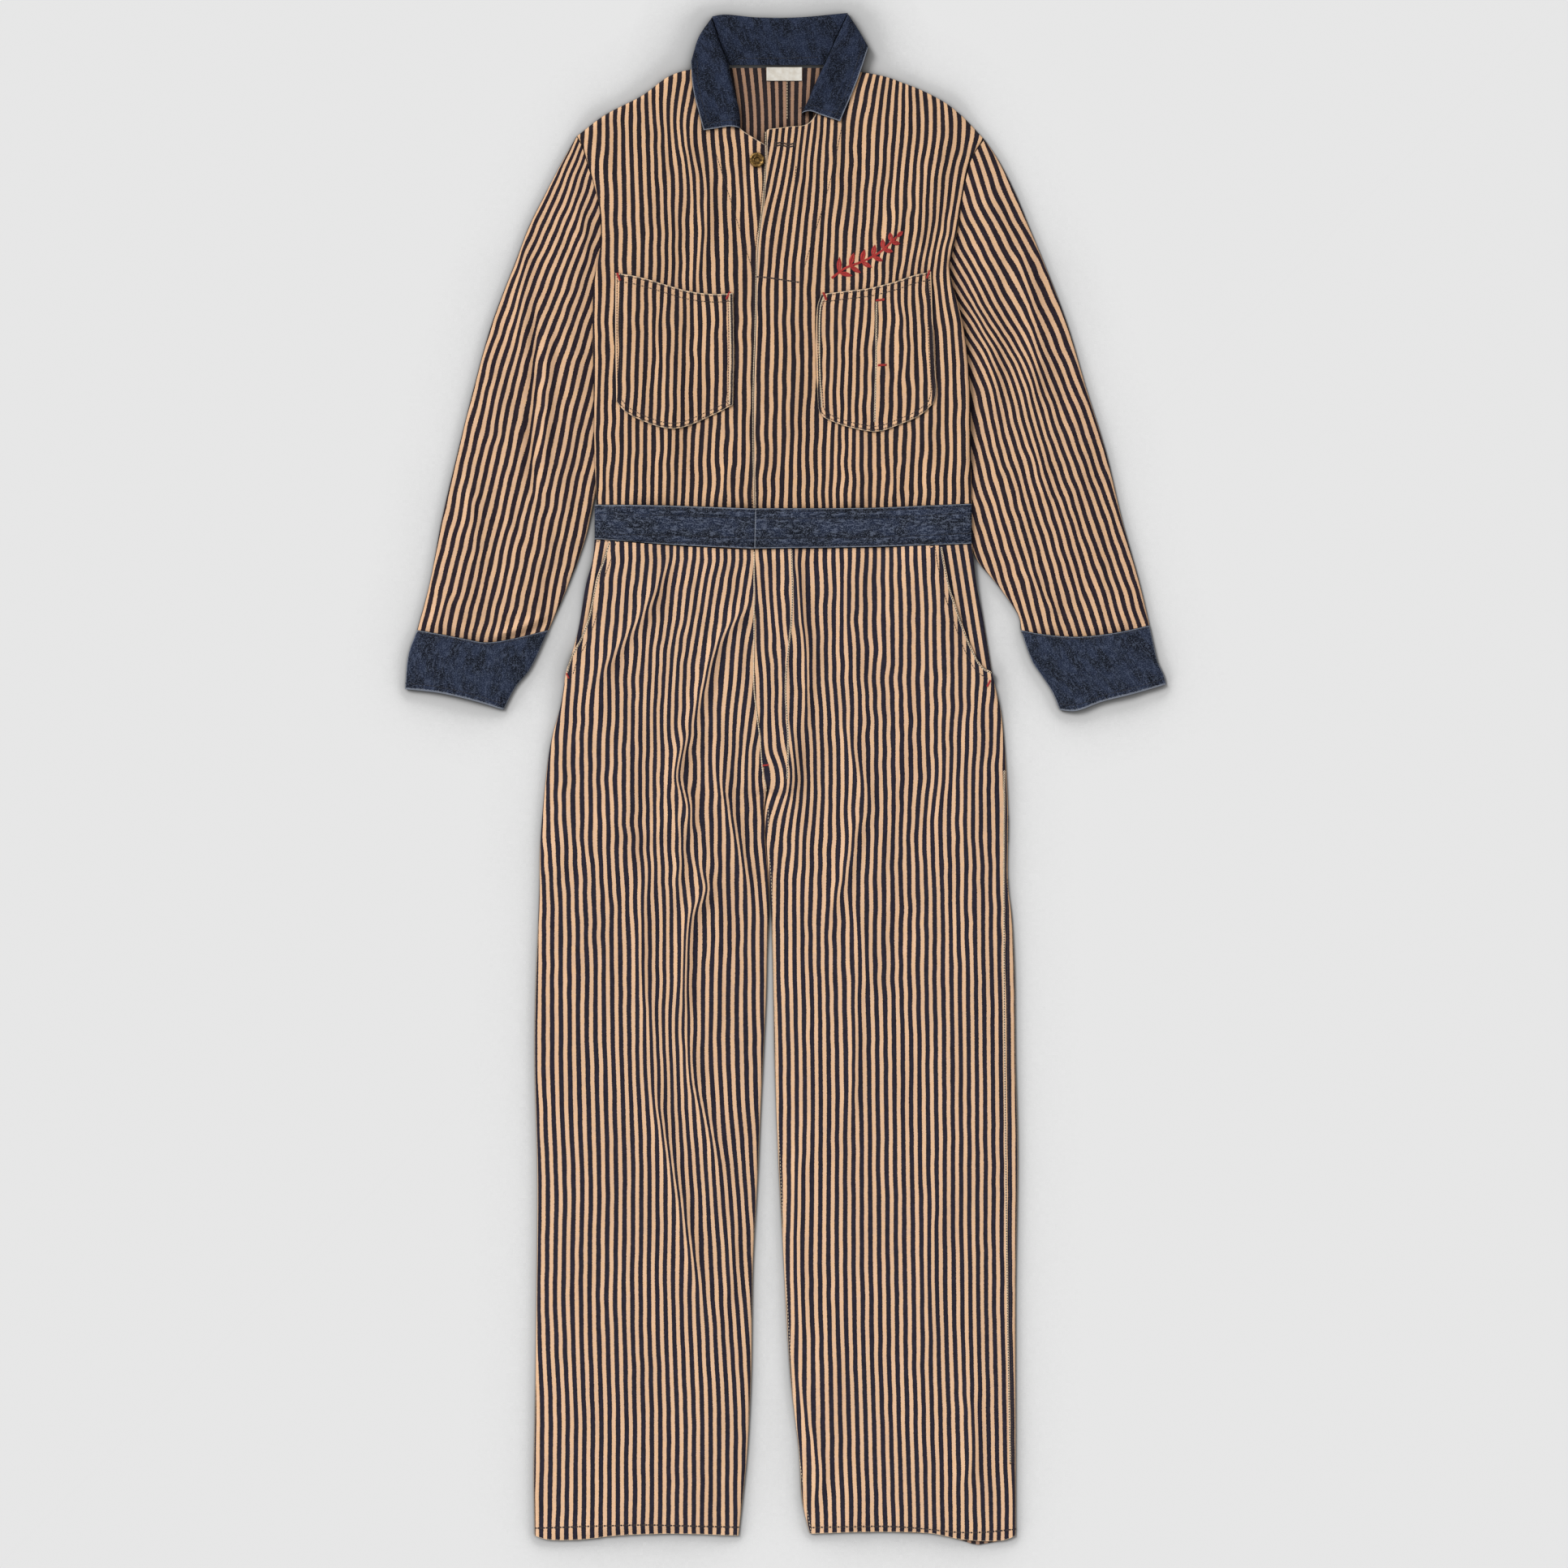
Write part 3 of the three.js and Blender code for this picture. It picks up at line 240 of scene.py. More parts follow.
SLEEVE_FOLDS = [
    Fold(11, 3.4, 3.5, [(-276, 561), (-278, 442)]),
    Fold(6, -4.2, 6, [(-262, 500), (-263, 434), (-266, 340), (-262, 290)]),
    Fold(7, 3.4, 3, [(-248, 480), (-250, 400), (-254, 320)]),
    Fold(11, 2.6, 3, [(-330, 300), (-318, 215)]),
    Fold(9, 2.6, 3, [(-214, 600), (-206, 548), (-214, 500)]),
    Fold(8, 2.0, 3, [(-352, 196), (-366, 158)]),
    Fold(5, 4.6, 0, [(-306, 145), (-276, 160), (-246, 172)]),
    Fold(3, -2.4, 0, [(-298, 143), (-274, 151), (-250, 160)]),
    Fold(11, 3.8, 4, [(246, 560), (252, 519), (261, 451), (257, 391)]),
    Fold(10, 3.6, 4, [(257, 349), (274, 289)]),
    Fold(9, 3.2, 3.5, [(250, 221), (284, 170)]),
    Fold(10, 2.8, 3.5, [(196, 500), (214, 440), (222, 380)]),
]

# How the stripes run on each cut: the numbers of the guide stripes, and their x at some heights
STRIPE_GUIDES = {
    "front_leg_right": {
        "stripes": (0, 12, 20, 28),
        "rows": [
            (230, (-243, -137, -71, -7)), (110, (-252, -150, -90, -23)), (-8, (-258, -153, -94, -32)),
            (-128, (-253, -150, -91, -26)), (-306, (-253, -147, -93, -23)), (-425, (-249, -143, -82, -18)),
            (-544, (-250, -143, -76, -10)), (-663, (-246, -140, -70, -2)), (-782, (-247, -140, -70, -2)),
        ],
    },
    "front_leg_left": {
        "stripes": (0, 8, 20, 28),
        "rows": [
            (230, (-9, 58, 162, 227)), (110, (-3, 59, 166, 233)), (-8, (-2, 63, 162, 230)),
            (-128, (-8, 60, 164, 231)), (-306, (-5, 62, 166, 234)), (-544, (-7, 63, 168, 235)),
            (-782, (-2, 69, 173, 240)),
        ],
    },
    "front_bodice_right": {
        "stripes": (0, 6, 12, 18),
        "rows": [
            (731, (-187, -138, -85, -41)), (688, (-187, -137, -94, -41)), (629, (-188, -135, -88, -39)),
            (561, (-186, -133, -88, -34)), (425, (-186, -136, -86, -34)), (289, (-190, -140, -90, -38)),
        ],
    },
    "front_bodice_left": {
        "stripes": (0, 6, 12, 18, 24),
        "rows": [
            (744, (14, 61, 105, 143, 189)), (714, (8, 49, 100, 146, 195)), (680, (5, 45, 97, 148, 200)),
            (629, (-2, 42, 94, 142, 189)), (578, (-12, 38, 89, 140, 180)), (527, (-17, 34, 87, 132, 173)),
            (468, (-18, 34, 83, 134, 182)), (289, (-22, 31, 79, 132, 185)),
        ],
    },
    "sleeve_right": {
        "stripes": (0, 6, 15),
        "rows": [
            (672, (-221, -184, -128)), (604, (-252, -204, -133)), (518, (-287, -236, -153)),
            (434, (-314, -263, -180)), (348, (-335, -280, -201)), (264, (-354, -299, -219)),
            (144, (-382, -327, -243)),
        ],
    },
    "sleeve_left": {
        "stripes": (0, 6, 12, 18),
        "rows": [
            (670, (36, 95, 155, 209)), (604, (71, 122, 173, 235)), (518, (116, 163, 214, 280)),
            (434, (163, 215, 258, 312)), (348, (187, 240, 288, 343)), (264, (210, 265, 318, 371)),
            (144, (248, 300, 357, 413)),
        ],
    },
}


# Places where the cloth bulges and carries its stripes sideways on one cut
STRIPE_BULGES = [
    {"cut": "front_leg_left", "at": (-8, -2), "reach": (26, 27), "push": 10},
    {"cut": "front_leg_right", "at": (-30, 20), "reach": (16, 30), "push": -3},
    {"cut": "front_leg_left", "at": (150, 10), "reach": (30, 40), "push": 4},
]


# Plan geometry
def ease(value):
    t = np.clip(value, 0.0, 1.0)
    return t * t * (3.0 - 2.0 * t)


def x_at(line, y):
    points = np.array(sorted(line, key=lambda point: point[1]), float)
    return np.interp(y, points[:, 1], points[:, 0])


def curve_through(line, steps=24):
    """A smooth curve through a line's points, and the length run at each of its points"""
    points = np.array(line, float)
    points = np.vstack([2 * points[0] - points[1], points, 2 * points[-1] - points[-2]])
    t = np.linspace(0, 1, steps, endpoint=False)[:, None]
    made = []
    for p0, p1, p2, p3 in zip(points[:-3], points[1:-2], points[2:-1], points[3:]):
        before, here, after = (np.sqrt(np.linalg.norm(b - a)) for a, b in ((p0, p1), (p1, p2), (p2, p3)))
        leave = ((p1 - p0) / before - (p2 - p0) / (before + here) + (p2 - p1) / here) * here
        arrive = ((p2 - p1) / here - (p3 - p1) / (here + after) + (p3 - p2) / after) * here
        bend = 3 * (p2 - p1) - 2 * leave - arrive
        twist = 2 * (p1 - p2) + leave + arrive
        made.append(p1 + leave * t + bend * t**2 + twist * t**3)
    curve = np.vstack([*made, points[-2:-1]])
    return curve, length_run(curve)


def length_run(curve):
    return np.concatenate([[0], np.cumsum(np.linalg.norm(np.diff(curve, axis=0), axis=1))])


def place_on(curve, run, length):
    """The place on a curve at a length run, or one row of places for each of several lengths"""
    return np.stack([np.interp(length, run, curve[:, k]) for k in (0, 1)], axis=-1)


def beside(curve, shift):
    """A curve moved to its own right by a shift"""
    tangent = np.gradient(curve, axis=0)
    tangent /= np.linalg.norm(tangent, axis=1, keepdims=True)
    return curve + shift * np.stack([tangent[:, 1], -tangent[:, 0]], axis=1)


def along(line, places):
    curve, run = curve_through(line)
    return place_on(curve, run, np.asarray(places) * run[-1])


def stations(*runs, at):
    """Points along several lines or named ones, each with its steps, at shares of all the steps"""
    steps = np.array([step for _, step in runs], float)
    starts = np.concatenate([[0], np.cumsum(steps)])
    places = np.asarray(at) * starts[-1]
    made = np.zeros((len(places), 2))
    for (line, step), start in zip(runs, starts):
        line = LINES[line] if isinstance(line, str) else line
        here = places >= start - 1e-9
        made[here] = along(line, np.clip((places[here] - start) / step, 0, 1))
    return made


def shares(length, cell):
    """Shares of a length that are close together near both ends and a cell apart between"""
    near = np.array(EDGE_STATIONS) / length
    middle = np.linspace(near[-1], 1 - near[-1], max(3, round(length / cell)))
    return np.concatenate([near[:-1], middle, 1 - near[-2::-1]])


class Cut:
    """A cut piece's grid in plan, blended from its four edges and drawn in by a share at each"""

    def __init__(self, bottom, top, left, right, size, cell=CELL, drawn=HALF_SEAM):
        columns, rows = shares(size[0], cell), shares(size[1], cell)
        bottom, top = stations(*bottom, at=columns), stations(*top, at=columns)
        left, right = stations(*left, at=rows), stations(*right, at=rows)
        u, v = columns[None, :, None], rows[:, None, None]
        grid = (1 - v) * bottom + v * top + (1 - u) * left[:, None] + u * right[:, None]
        grid = grid - (1 - u) * (1 - v) * bottom[0] - u * (1 - v) * bottom[-1]
        self.plan = grid - (1 - u) * v * top[0] - u * v * top[-1]
        self.columns, self.rows = columns, rows
        self.flat_size = self.measure()
        drawn = drawn if isinstance(drawn, dict) else dict.fromkeys(("left", "right", "bottom", "top"), drawn)
        for side, share in drawn.items():
            self.draw_in(side, share)

    def measure(self):
        across = np.linalg.norm(np.diff(self.plan, axis=1), axis=2).sum(axis=1).max()
        length = np.linalg.norm(np.diff(self.plan, axis=0), axis=2).sum(axis=0).max()
        return across, length

    def edge(self, side):
        return {
            "left": self.plan[:, :1], "right": self.plan[:, -1:],
            "bottom": self.plan[:1], "top": self.plan[-1:],
        }[side]

    def distance(self, side):
        """Distance of every point from one edge, along its own row or column"""
        return np.linalg.norm(self.plan - self.edge(side), axis=2)

    def nearest(self, *sides):
        return np.min([self.distance(side) for side in sides], axis=0)

    def draw_in(self, side, share):
        near = len(EDGE_STATIONS)
        index = {
            "left": (slice(None), near), "right": (slice(None), -near - 1), "bottom": near, "top": -near - 1,
        }[side]
        edge = self.edge(side)
        inner = self.plan[index]
        inner = inner[:, None] if side in ("left", "right") else inner[None]
        inward = inner - edge
        inward = inward / np.linalg.norm(inward, axis=2, keepdims=True)
        fade = np.clip(1 - self.distance(side) / EDGE_FADE, 0, 1)[..., None]
        self.plan = self.plan + inward * share * fade

    @property
    def x(self):
        return self.plan[..., 0]

    @property
    def y(self):
        return self.plan[..., 1]

    def area(self):
        d1 = self.plan[1:, 1:] - self.plan[:-1, :-1]
        d2 = self.plan[1:, :-1] - self.plan[:-1, 1:]
        return 0.5 * np.abs(d1[..., 0] * d2[..., 1] - d1[..., 1] * d2[..., 0]).sum()


# Relief of the cloth
def wander(x, y, wave_x, wave_y, seed):
    """Smooth noise from -1 to 1 that changes over the given lengths"""
    lattice = np.random.default_rng(seed).uniform(-1, 1, (512, 512))
    gx, gy = np.asarray(x) / wave_x + 256, np.asarray(y) / wave_y + 256
    i, j = np.floor(gx).astype(int), np.floor(gy).astype(int)
    tx, ty = ease(gx - i), ease(gy - j)
    low = lattice[j, i] * (1 - tx) + lattice[j, i + 1] * tx
    high = lattice[j + 1, i] * (1 - tx) + lattice[j + 1, i + 1] * tx
    return low * (1 - ty) + high * ty


def fold_relief(folds, x, y):
    """Height of a table of folds at each place, and how far they draw the stripes sideways"""
    height, drawn = np.zeros(x.shape), np.zeros(x.shape)
    for fold in folds:
        curve, run = curve_through(fold.line, 6)
        nearest = np.full(x.shape, np.inf)
        offset, place = np.zeros(x.shape), np.zeros(x.shape)
        for (ax, ay), (bx, by), start in zip(curve[:-1], curve[1:], run):
            length = math.hypot(bx - ax, by - ay)
            t = np.clip(((x - ax) * (bx - ax) + (y - ay) * (by - ay)) / length**2, 0, 1)
            dx, dy = x - ax - t * (bx - ax), y - ay - t * (by - ay)
            distance = np.hypot(dx, dy)
            closer = distance < nearest
            nearest = np.where(closer, distance, nearest)
            offset = np.where(closer, dx, offset)
            place = np.where(closer, start + t * length, place)
        ends = ease(np.minimum(place, run[-1] - place) / (0.3 * run[-1]) + 0.3)
        swell = np.exp(-((nearest / fold.width) ** 2)) * ends
        height += fold.height * swell
        drawn += fold.takes * offset / fold.width * ends / (1 + (nearest / fold.width) ** 2) ** 1.5
    return height, drawn


SIDE_RIGHT = LINES["outseam_right"] + LINES["hip_right"] + LINES["side_right"] + LINES["armhole_right"]
SIDE_LEFT = LINES["outseam_left"] + LINES["hip_left"] + LINES["side_left"] + LINES["armhole_left"]


def inside_body(x, y):
    distance = np.minimum(x - x_at(SIDE_RIGHT, y), x_at(SIDE_LEFT, y) - x)
    to_right = x_at(LINES["inseam_right"], y) - x
    to_left = x - x_at(LINES["inseam_left"], y)
    inseam = np.where(to_right > -1, to_right, to_left)
    return np.where(y < CROTCH, np.minimum(distance, inseam), distance)


def slack(y):
    """The share of small creases at each height: the legs lie smoother than the rest"""
    return 0.4 + 0.6 * ease((y + 330) / 320)


def creases(x, y):
    """Small soft creases that run mostly along the stripes"""
    wide = 1.5 * wander(x, y, 24, 110, 3)
    narrow = 0.9 * wander(x, y, 10, 40, 7)
    slanted = 1.0 * wander(x + 0.8 * y, y - 0.8 * x, 13, 60, 13)
    fine = 0.25 * wander(x, y, 6, 12, 11)
    return (wide + narrow + slanted + fine) * slack(y)


def side_billow(x, y):
    """The body's left side stands up off the sleeve between the armhole and the waist"""
    inside = x_at(SIDE_LEFT, y) - x
    return 5.6 * np.exp(-((inside / 20) ** 2)) * ease((y - 296) / 50) * (1 - ease((y - 530) / 60))


def front_rise(x, y):
    inside = inside_body(x, y)
    puff = PUFF * ease(inside / 55 + 0.1) + side_billow(x, y)
    folds = fold_relief(BODY_FOLDS, x, y)[0]
    return np.clip(puff + (folds + creases(x, y)) * ease(inside / 22), 0, RISE_LIMIT)


def side_lift(x, y, slope_start):
    distance = np.minimum(x - x_at(SIDE_RIGHT, y), x_at(SIDE_LEFT, y) - x)
    across = 1 - ease((distance - slope_start) / 64)
    armhole_end = np.where(x < 0, 580, 565)
    lengthwise = np.minimum(1 - ease((y - armhole_end) / 80), ease((y - 155) / 75))
    return SIDE_LIFT * across * lengthwise


def back_lift(x, y):
    return side_lift(x, y, 30)


def front_lift(x, y):
    return side_lift(x, y, 42)


def closure_lap(x, y):
    return (1 - ease((x - 2) / 35)) * ease((y + 70) / 50)


def mouth_lap(x, y):
    mouth_right, mouth_left = x_at(LINES["mouth_right"], y), x_at(LINES["mouth_left"], y)
    distance = np.where(x < 0, x - mouth_right, mouth_left - x)
    return (1 - ease((distance - 24) / 40)) * ease((y - 50) / 45)


def rolled(distance, radius=ROLL):
    """Share of its height that cloth has reached at a distance from a closed edge"""
    return np.sqrt(1 - (1 - np.clip(distance / radius, 0, 1)) ** 2)


# Stripes
def guide_number(name, x, y):
    """The stripe number at each place, from the cut's guide stripes"""
    guide = STRIPE_GUIDES[name]
    numbers = np.array(guide["stripes"], float)
    rows = sorted(guide["rows"])
    heights = np.array([height for height, _ in rows], float)
    places = np.array([places for _, places in rows], float)
    slopes = np.gradient(places, heights, axis=0)
    y = np.clip(y, heights[0], heights[-1])
    row = np.clip(np.searchsorted(heights, y) - 1, 0, len(heights) - 2)
    gap = heights[row + 1] - heights[row]
    t = ((y - heights[row]) / gap)[..., None]
    gap = gap[..., None]
    start, end = places[row], places[row + 1]
    here = start * (1 + 2 * t) * (1 - t) ** 2 + end * t**2 * (3 - 2 * t)
    here += slopes[row] * gap * t * (1 - t) ** 2 - slopes[row + 1] * gap * t**2 * (1 - t)
    rates = np.diff(numbers) / np.diff(here, axis=-1)
    column = np.clip((here[..., 1:-1] < x[..., None]).sum(axis=-1), 0, len(numbers) - 2)

    def pick(table, at):
        return np.take_along_axis(table, at[..., None], axis=-1)[..., 0]

    rate = pick(rates, column)
    before = pick(rates, np.maximum(column - 1, 0))
    after = pick(rates, np.minimum(column + 1, len(numbers) - 2))
    left, right = pick(here, column), pick(here, column + 1)
    width = right - left
    s = (x - left) / width
    enter, leave = (before + rate) / 2, (rate + after) / 2
    bent = numbers[column] + (s * s * (3 - 2 * s)) * (numbers[column + 1] - numbers[column])
    bent += width * (enter * s * (1 - s) ** 2 - leave * s * s * (1 - s))
    low = numbers[column] + (x - left) * enter
    high = numbers[column + 1] + (x - right) * leave
    return np.where(s < 0, low, np.where(s > 1, high, bent))


def turned_under(distance, radius=ROLL):
    """Cloth that a closed edge's roll takes up beyond what shows from above"""
    inside = np.clip(distance / radius, 0, 1)
    return radius * (np.arcsin(1 - inside) - (1 - inside))


def striped_cloth(name, x, y, folds, left=None, right=None):
    """Where each place lies on the striped cloth, across and along the stripes"""
    drawn = fold_relief(folds, x, y)[1]
    drawn += (1.0 * wander(x, y, 26, 34, 5) + 0.7 * wander(x, y, 12, 15, 9)) * slack(y)
    across = guide_number(name, x, y) * PITCH + drawn
    for bulge in STRIPE_BULGES:
        if bulge["cut"] == name:
            (at_x, at_y), (reach_x, reach_y) = bulge["at"], bulge["reach"]
            across -= bulge["push"] * np.exp(-((x - at_x) / reach_x) ** 2 - ((y - at_y) / reach_y) ** 2)
    if left is not None:
        across -= turned_under(left)
    if right is not None:
        across += turned_under(right)
    return np.stack([across, y], axis=-1)


def plain_cloth(cut, lengthwise=True):
    """Where each place lies on cloth that is cut straight with the piece itself"""
    across = np.cumsum(np.linalg.norm(np.diff(cut.plan, axis=1, prepend=cut.plan[:, :1]), axis=2), axis=1)
    upward = np.cumsum(np.linalg.norm(np.diff(cut.plan, axis=0, prepend=cut.plan[:1]), axis=2), axis=0)
    return np.stack([across, upward] if lengthwise else [upward, across], axis=-1)


# Meshes
OVER, UNDER, RIM = 0, 1, 2


def wall(plan, under, over):
    """Points and faces of a closed wall over a grid, and which side each face is on"""
    rows, columns = under.shape
    count = rows * columns
    number = np.arange(count).reshape(rows, columns)
    corners = number[:-1, :-1], number[:-1, 1:], number[1:, 1:], number[1:, :-1]
    a, b, c, d = (corner.ravel() for corner in corners)
    rim = np.concatenate([number[0, :-1], number[:-1, -1], number[-1, :0:-1], number[:0:-1, 0]])
    following = np.roll(rim, -1)
    faces = np.vstack([
        np.stack([a, b, c, d], axis=1) + count,
        np.stack([a, d, c, b], axis=1),
        np.stack([rim, following, following + count, rim + count], axis=1),
    ])
    side = np.repeat([OVER, UNDER, RIM], [len(a), len(a), len(rim)])
    flat = plan.reshape(-1, 2)
    points = np.vstack([np.column_stack([flat, under.ravel()]), np.column_stack([flat, over.ravel()])])
    return points, faces, side


def tube(plan, under, over, thickness):
    """Points and faces of a hollow flattened tube that is open at both ends"""
    rows, columns = under.shape
    middle = (over + under) / 2
    inner_plan = plan.copy()
    for side, inward in ((0, 1), (-1, -2)):
        away = plan[:, inward] - plan[:, side]
        away = away / np.linalg.norm(away, axis=1, keepdims=True)
        inner_plan[:, side] = plan[:, side] + away * 0.4
    inner_over = np.maximum(over - thickness, middle + 0.05)
    inner_under = np.minimum(under + thickness, middle - 0.05)
    inner_over[:, [0, -1]] = middle[:, [0, -1]]

    def ring(flat, high, low):
        top = np.concatenate([flat, high[..., None]], axis=2)
        below = np.concatenate([flat, low[..., None]], axis=2)[:, -2:0:-1]
        return np.concatenate([top, below], axis=1)

    outer, inner = ring(plan, over, under), ring(inner_plan, inner_over, inner_under)
    around = outer.shape[1]
    count = rows * around
    k = np.arange(around)
    following = (k + 1) % around
    j = np.arange(rows - 1)[:, None] * around
    a, b = (j + k).ravel(), (j + following).ravel()
    end = (rows - 1) * around
    faces = np.vstack([
        np.stack([a, b, b + around, a + around], axis=1),
        np.stack([a, a + around, b + around, b], axis=1) + count,
        np.stack([k, k + count, following + count, following], axis=1),
        np.stack([end + k, end + following, count + end + following, count + end + k], axis=1),
    ])
    side = np.repeat([OVER, UNDER, RIM, RIM], [len(a), len(a), around, around])
    return np.vstack([outer.reshape(-1, 3), inner.reshape(-1, 3)]), faces, side


def ring_values(values):
    """A grid's values in the order of a tube's points"""
    one = np.concatenate([values, values[:, -2:0:-1]], axis=1).reshape(-1, *values.shape[2:])
    return np.concatenate([one, one])


def make_piece(name, points, faces, side, materials, cloth, edge=None, sharp=0.8):
    mesh = bpy.data.meshes.new(name)
    mesh.from_pydata((points * MM).tolist(), [], list(faces))
    for material in materials:
        mesh.materials.append(material)
    mesh.polygons.foreach_set("material_index", np.asarray(side, np.int32))
    corners = np.zeros(len(mesh.loops), np.int32)
    mesh.loops.foreach_get("vertex_index", corners)
    layer = mesh.uv_layers.new(name="cloth")
    layer.data.foreach_set("uv", (cloth[corners] * MM).astype(np.float32).ravel())
    if edge is not None:
        worn = mesh.attributes.new("edge", "FLOAT", "POINT")
        worn.data.foreach_set("value", (edge * MM).astype(np.float32))
    mesh.shade_smooth()
    mesh.set_sharp_from_angle(angle=sharp)
    mesh.update()
    made = bpy.data.objects.new(name, mesh)
    bpy.context.scene.collection.objects.link(made)
    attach(made, "root")
    return made


def cloth_wall(name, cut, under, over, materials, cloth, edge):
    points, faces, side = wall(cut.plan, under, over)
    cloth, edge = (np.concatenate([values.reshape(-1, *values.shape[2:])] * 2) for values in (cloth, edge))
    return make_piece(name, points, faces, side, materials, cloth, edge)


def cloth_tube(name, cut, under, over, thickness, materials, cloth, edge):
    points, faces, side = tube(cut.plan, under, over, thickness)
    return make_piece(name, points, faces, side, materials, ring_values(cloth), ring_values(edge))


def lay(node, cut, plies=1):
    """Hides the imported part that a cut piece of cloth stands for; the size that it was cut to is worked out
    but not used
    """
    across, length = cut.flat_size
    width = across * plies * MM
    length = length * MM
    area = min(cut.area() * plies * MM * MM, width * length)
    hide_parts(node)


class Surface:
    """The upper surface of the pieces made so far, for what is sewn or laid on them"""

    def __init__(self, pieces):
        points, faces = [], []
        for piece in pieces:
            start = len(points)
            points.extend(vertex.co.copy() for vertex in piece.data.vertices)
            faces.extend([start + k for k in face.vertices] for face in piece.data.polygons)
        self.tree = BVHTree.FromPolygons(points, faces)

    def under(self, x, y):
        """Place and normal of the topmost cloth at a point, or None where there is none"""
        hit, normal, _, _ = self.tree.ray_cast(Vector((x * MM, y * MM, 0.1)), Vector((0, 0, -1)))
        return None if hit is None else (np.array(hit) / MM, np.array(normal))

    def heights(self, cut, default=FRONT_BASE + CLOTH):
        found = np.array([
            [hit[0][2] if (hit := self.under(*point)) else np.nan for point in row] for row in cut.plan
        ])
        return np.where(np.isnan(found), default, found)


# Materials
def tone(red, green, blue):
    """A colour as seen, from 0 to 255, turned into Blender's own scale"""
    seen = np.array([red, green, blue]) / 255
    return (*np.where(seen <= 0.04045, seen / 12.92, ((seen + 0.055) / 1.055) ** 2.4), 1.0)


class Nodes:
    """Places nodes in a material's or a group's tree and joins them"""

    def __init__(self, tree):
        self.tree = tree

    def add(self, kind, inputs=None, **settings):
        made = self.tree.nodes.new("ShaderNode" + kind)
        for name, value in settings.items():
            setattr(made, name, value)
        for name, value in (inputs or {}).items():
            if isinstance(value, bpy.types.NodeSocket):
                self.tree.links.new(value, made.inputs[name])
            else:
                made.inputs[name].default_value = value
        return made

    def math(self, operation, *values):
        return self.add("Math", dict(enumerate(values)), operation=operation).outputs[0]

    def ramp(self, value, low, high, to_low=0.0, to_high=1.0, kind="SMOOTHSTEP"):
        inputs = {"Value": value, "From Min": low, "From Max": high, "To Min": to_low, "To Max": to_high}
        return self.add("MapRange", inputs, interpolation_type=kind).outputs["Result"]

    def mix(self, share, first, second, blend="MIX"):
        made = self.add("Mix", data_type="RGBA", blend_type=blend)
        for index, value in ((0, share), (6, first), (7, second)):
            if isinstance(value, bpy.types.NodeSocket):
                self.tree.links.new(value, made.inputs[index])
            else:
                made.inputs[index].default_value = value
        return made.outputs[2]

    def times(self, colour, value):
        """A colour multiplied by one value"""
        grey = self.add("CombineColor", {"Red": value, "Green": value, "Blue": value}).outputs[0]
        return self.mix(1.0, colour, grey, "MULTIPLY")

    def noise(self, place, scales, detail=2.0, roughness=0.5):
        """Noise over the cloth, with one scale across its stripes and one along them"""
        x, y = (self.math("MULTIPLY", value, scale) for value, scale in zip(place, scales))
        vector = self.add("CombineXYZ", {"X": x, "Y": y}).outputs[0]
        inputs = {"Vector": vector, "Scale": 1.0, "Detail": detail, "Roughness": roughness}
        return self.add("TexNoise", inputs).outputs["Fac"]


def effect(name, inputs, outputs):
    """A node group over the cloth: its nodes, its place, what else it is given, and what it gives"""
    group = bpy.data.node_groups.new(name, "ShaderNodeTree")
    for label, value in {**inputs, "Across": 0.0, "Along": 0.0}.items():
        socket = group.interface.new_socket(name=label, in_out="INPUT", socket_type="NodeSocketFloat")
        socket.default_value = value
    for label in outputs:
        group.interface.new_socket(name=label, in_out="OUTPUT", socket_type="NodeSocketFloat")
    given = group.nodes.new("NodeGroupInput").outputs
    ready = group.nodes.new("NodeGroupOutput").inputs
    return Nodes(group), (given["Across"], given["Along"]), given, ready


def make_stripe_effect():
    """Mask of the dark stripes, which are centred on whole numbers of the pitch"""
    inputs = {"Pitch": PITCH * MM, "Dark Share": 0.47, "Softness": 0.06}
    nodes, place, given, ready = effect("woven_stripes", inputs, ["Mask", "Core"])
    ragged = nodes.noise(place, (1500.0, 900.0), detail=1.0)
    ragged = nodes.math("MULTIPLY_ADD", ragged, 0.0014, -0.0007)
    across = nodes.math("ADD", place[0], ragged)
    turns = nodes.math("DIVIDE", across, given["Pitch"])
    turn = nodes.math("FRACT", nodes.math("ADD", turns, 0.5))
    away = nodes.math("MULTIPLY", nodes.math("ABSOLUTE", nodes.math("SUBTRACT", turn, 0.5)), 2.0)
    low = nodes.math("SUBTRACT", given["Dark Share"], given["Softness"])
    high = nodes.math("ADD", given["Dark Share"], given["Softness"])
    nodes.tree.links.new(nodes.ramp(away, low, high, 1.0, 0.0), ready["Mask"])
    half = nodes.math("MULTIPLY", given["Dark Share"], 0.72)
    nodes.tree.links.new(nodes.ramp(away, half, given["Dark Share"], 1.0, 0.0), ready["Core"])
    return nodes.tree


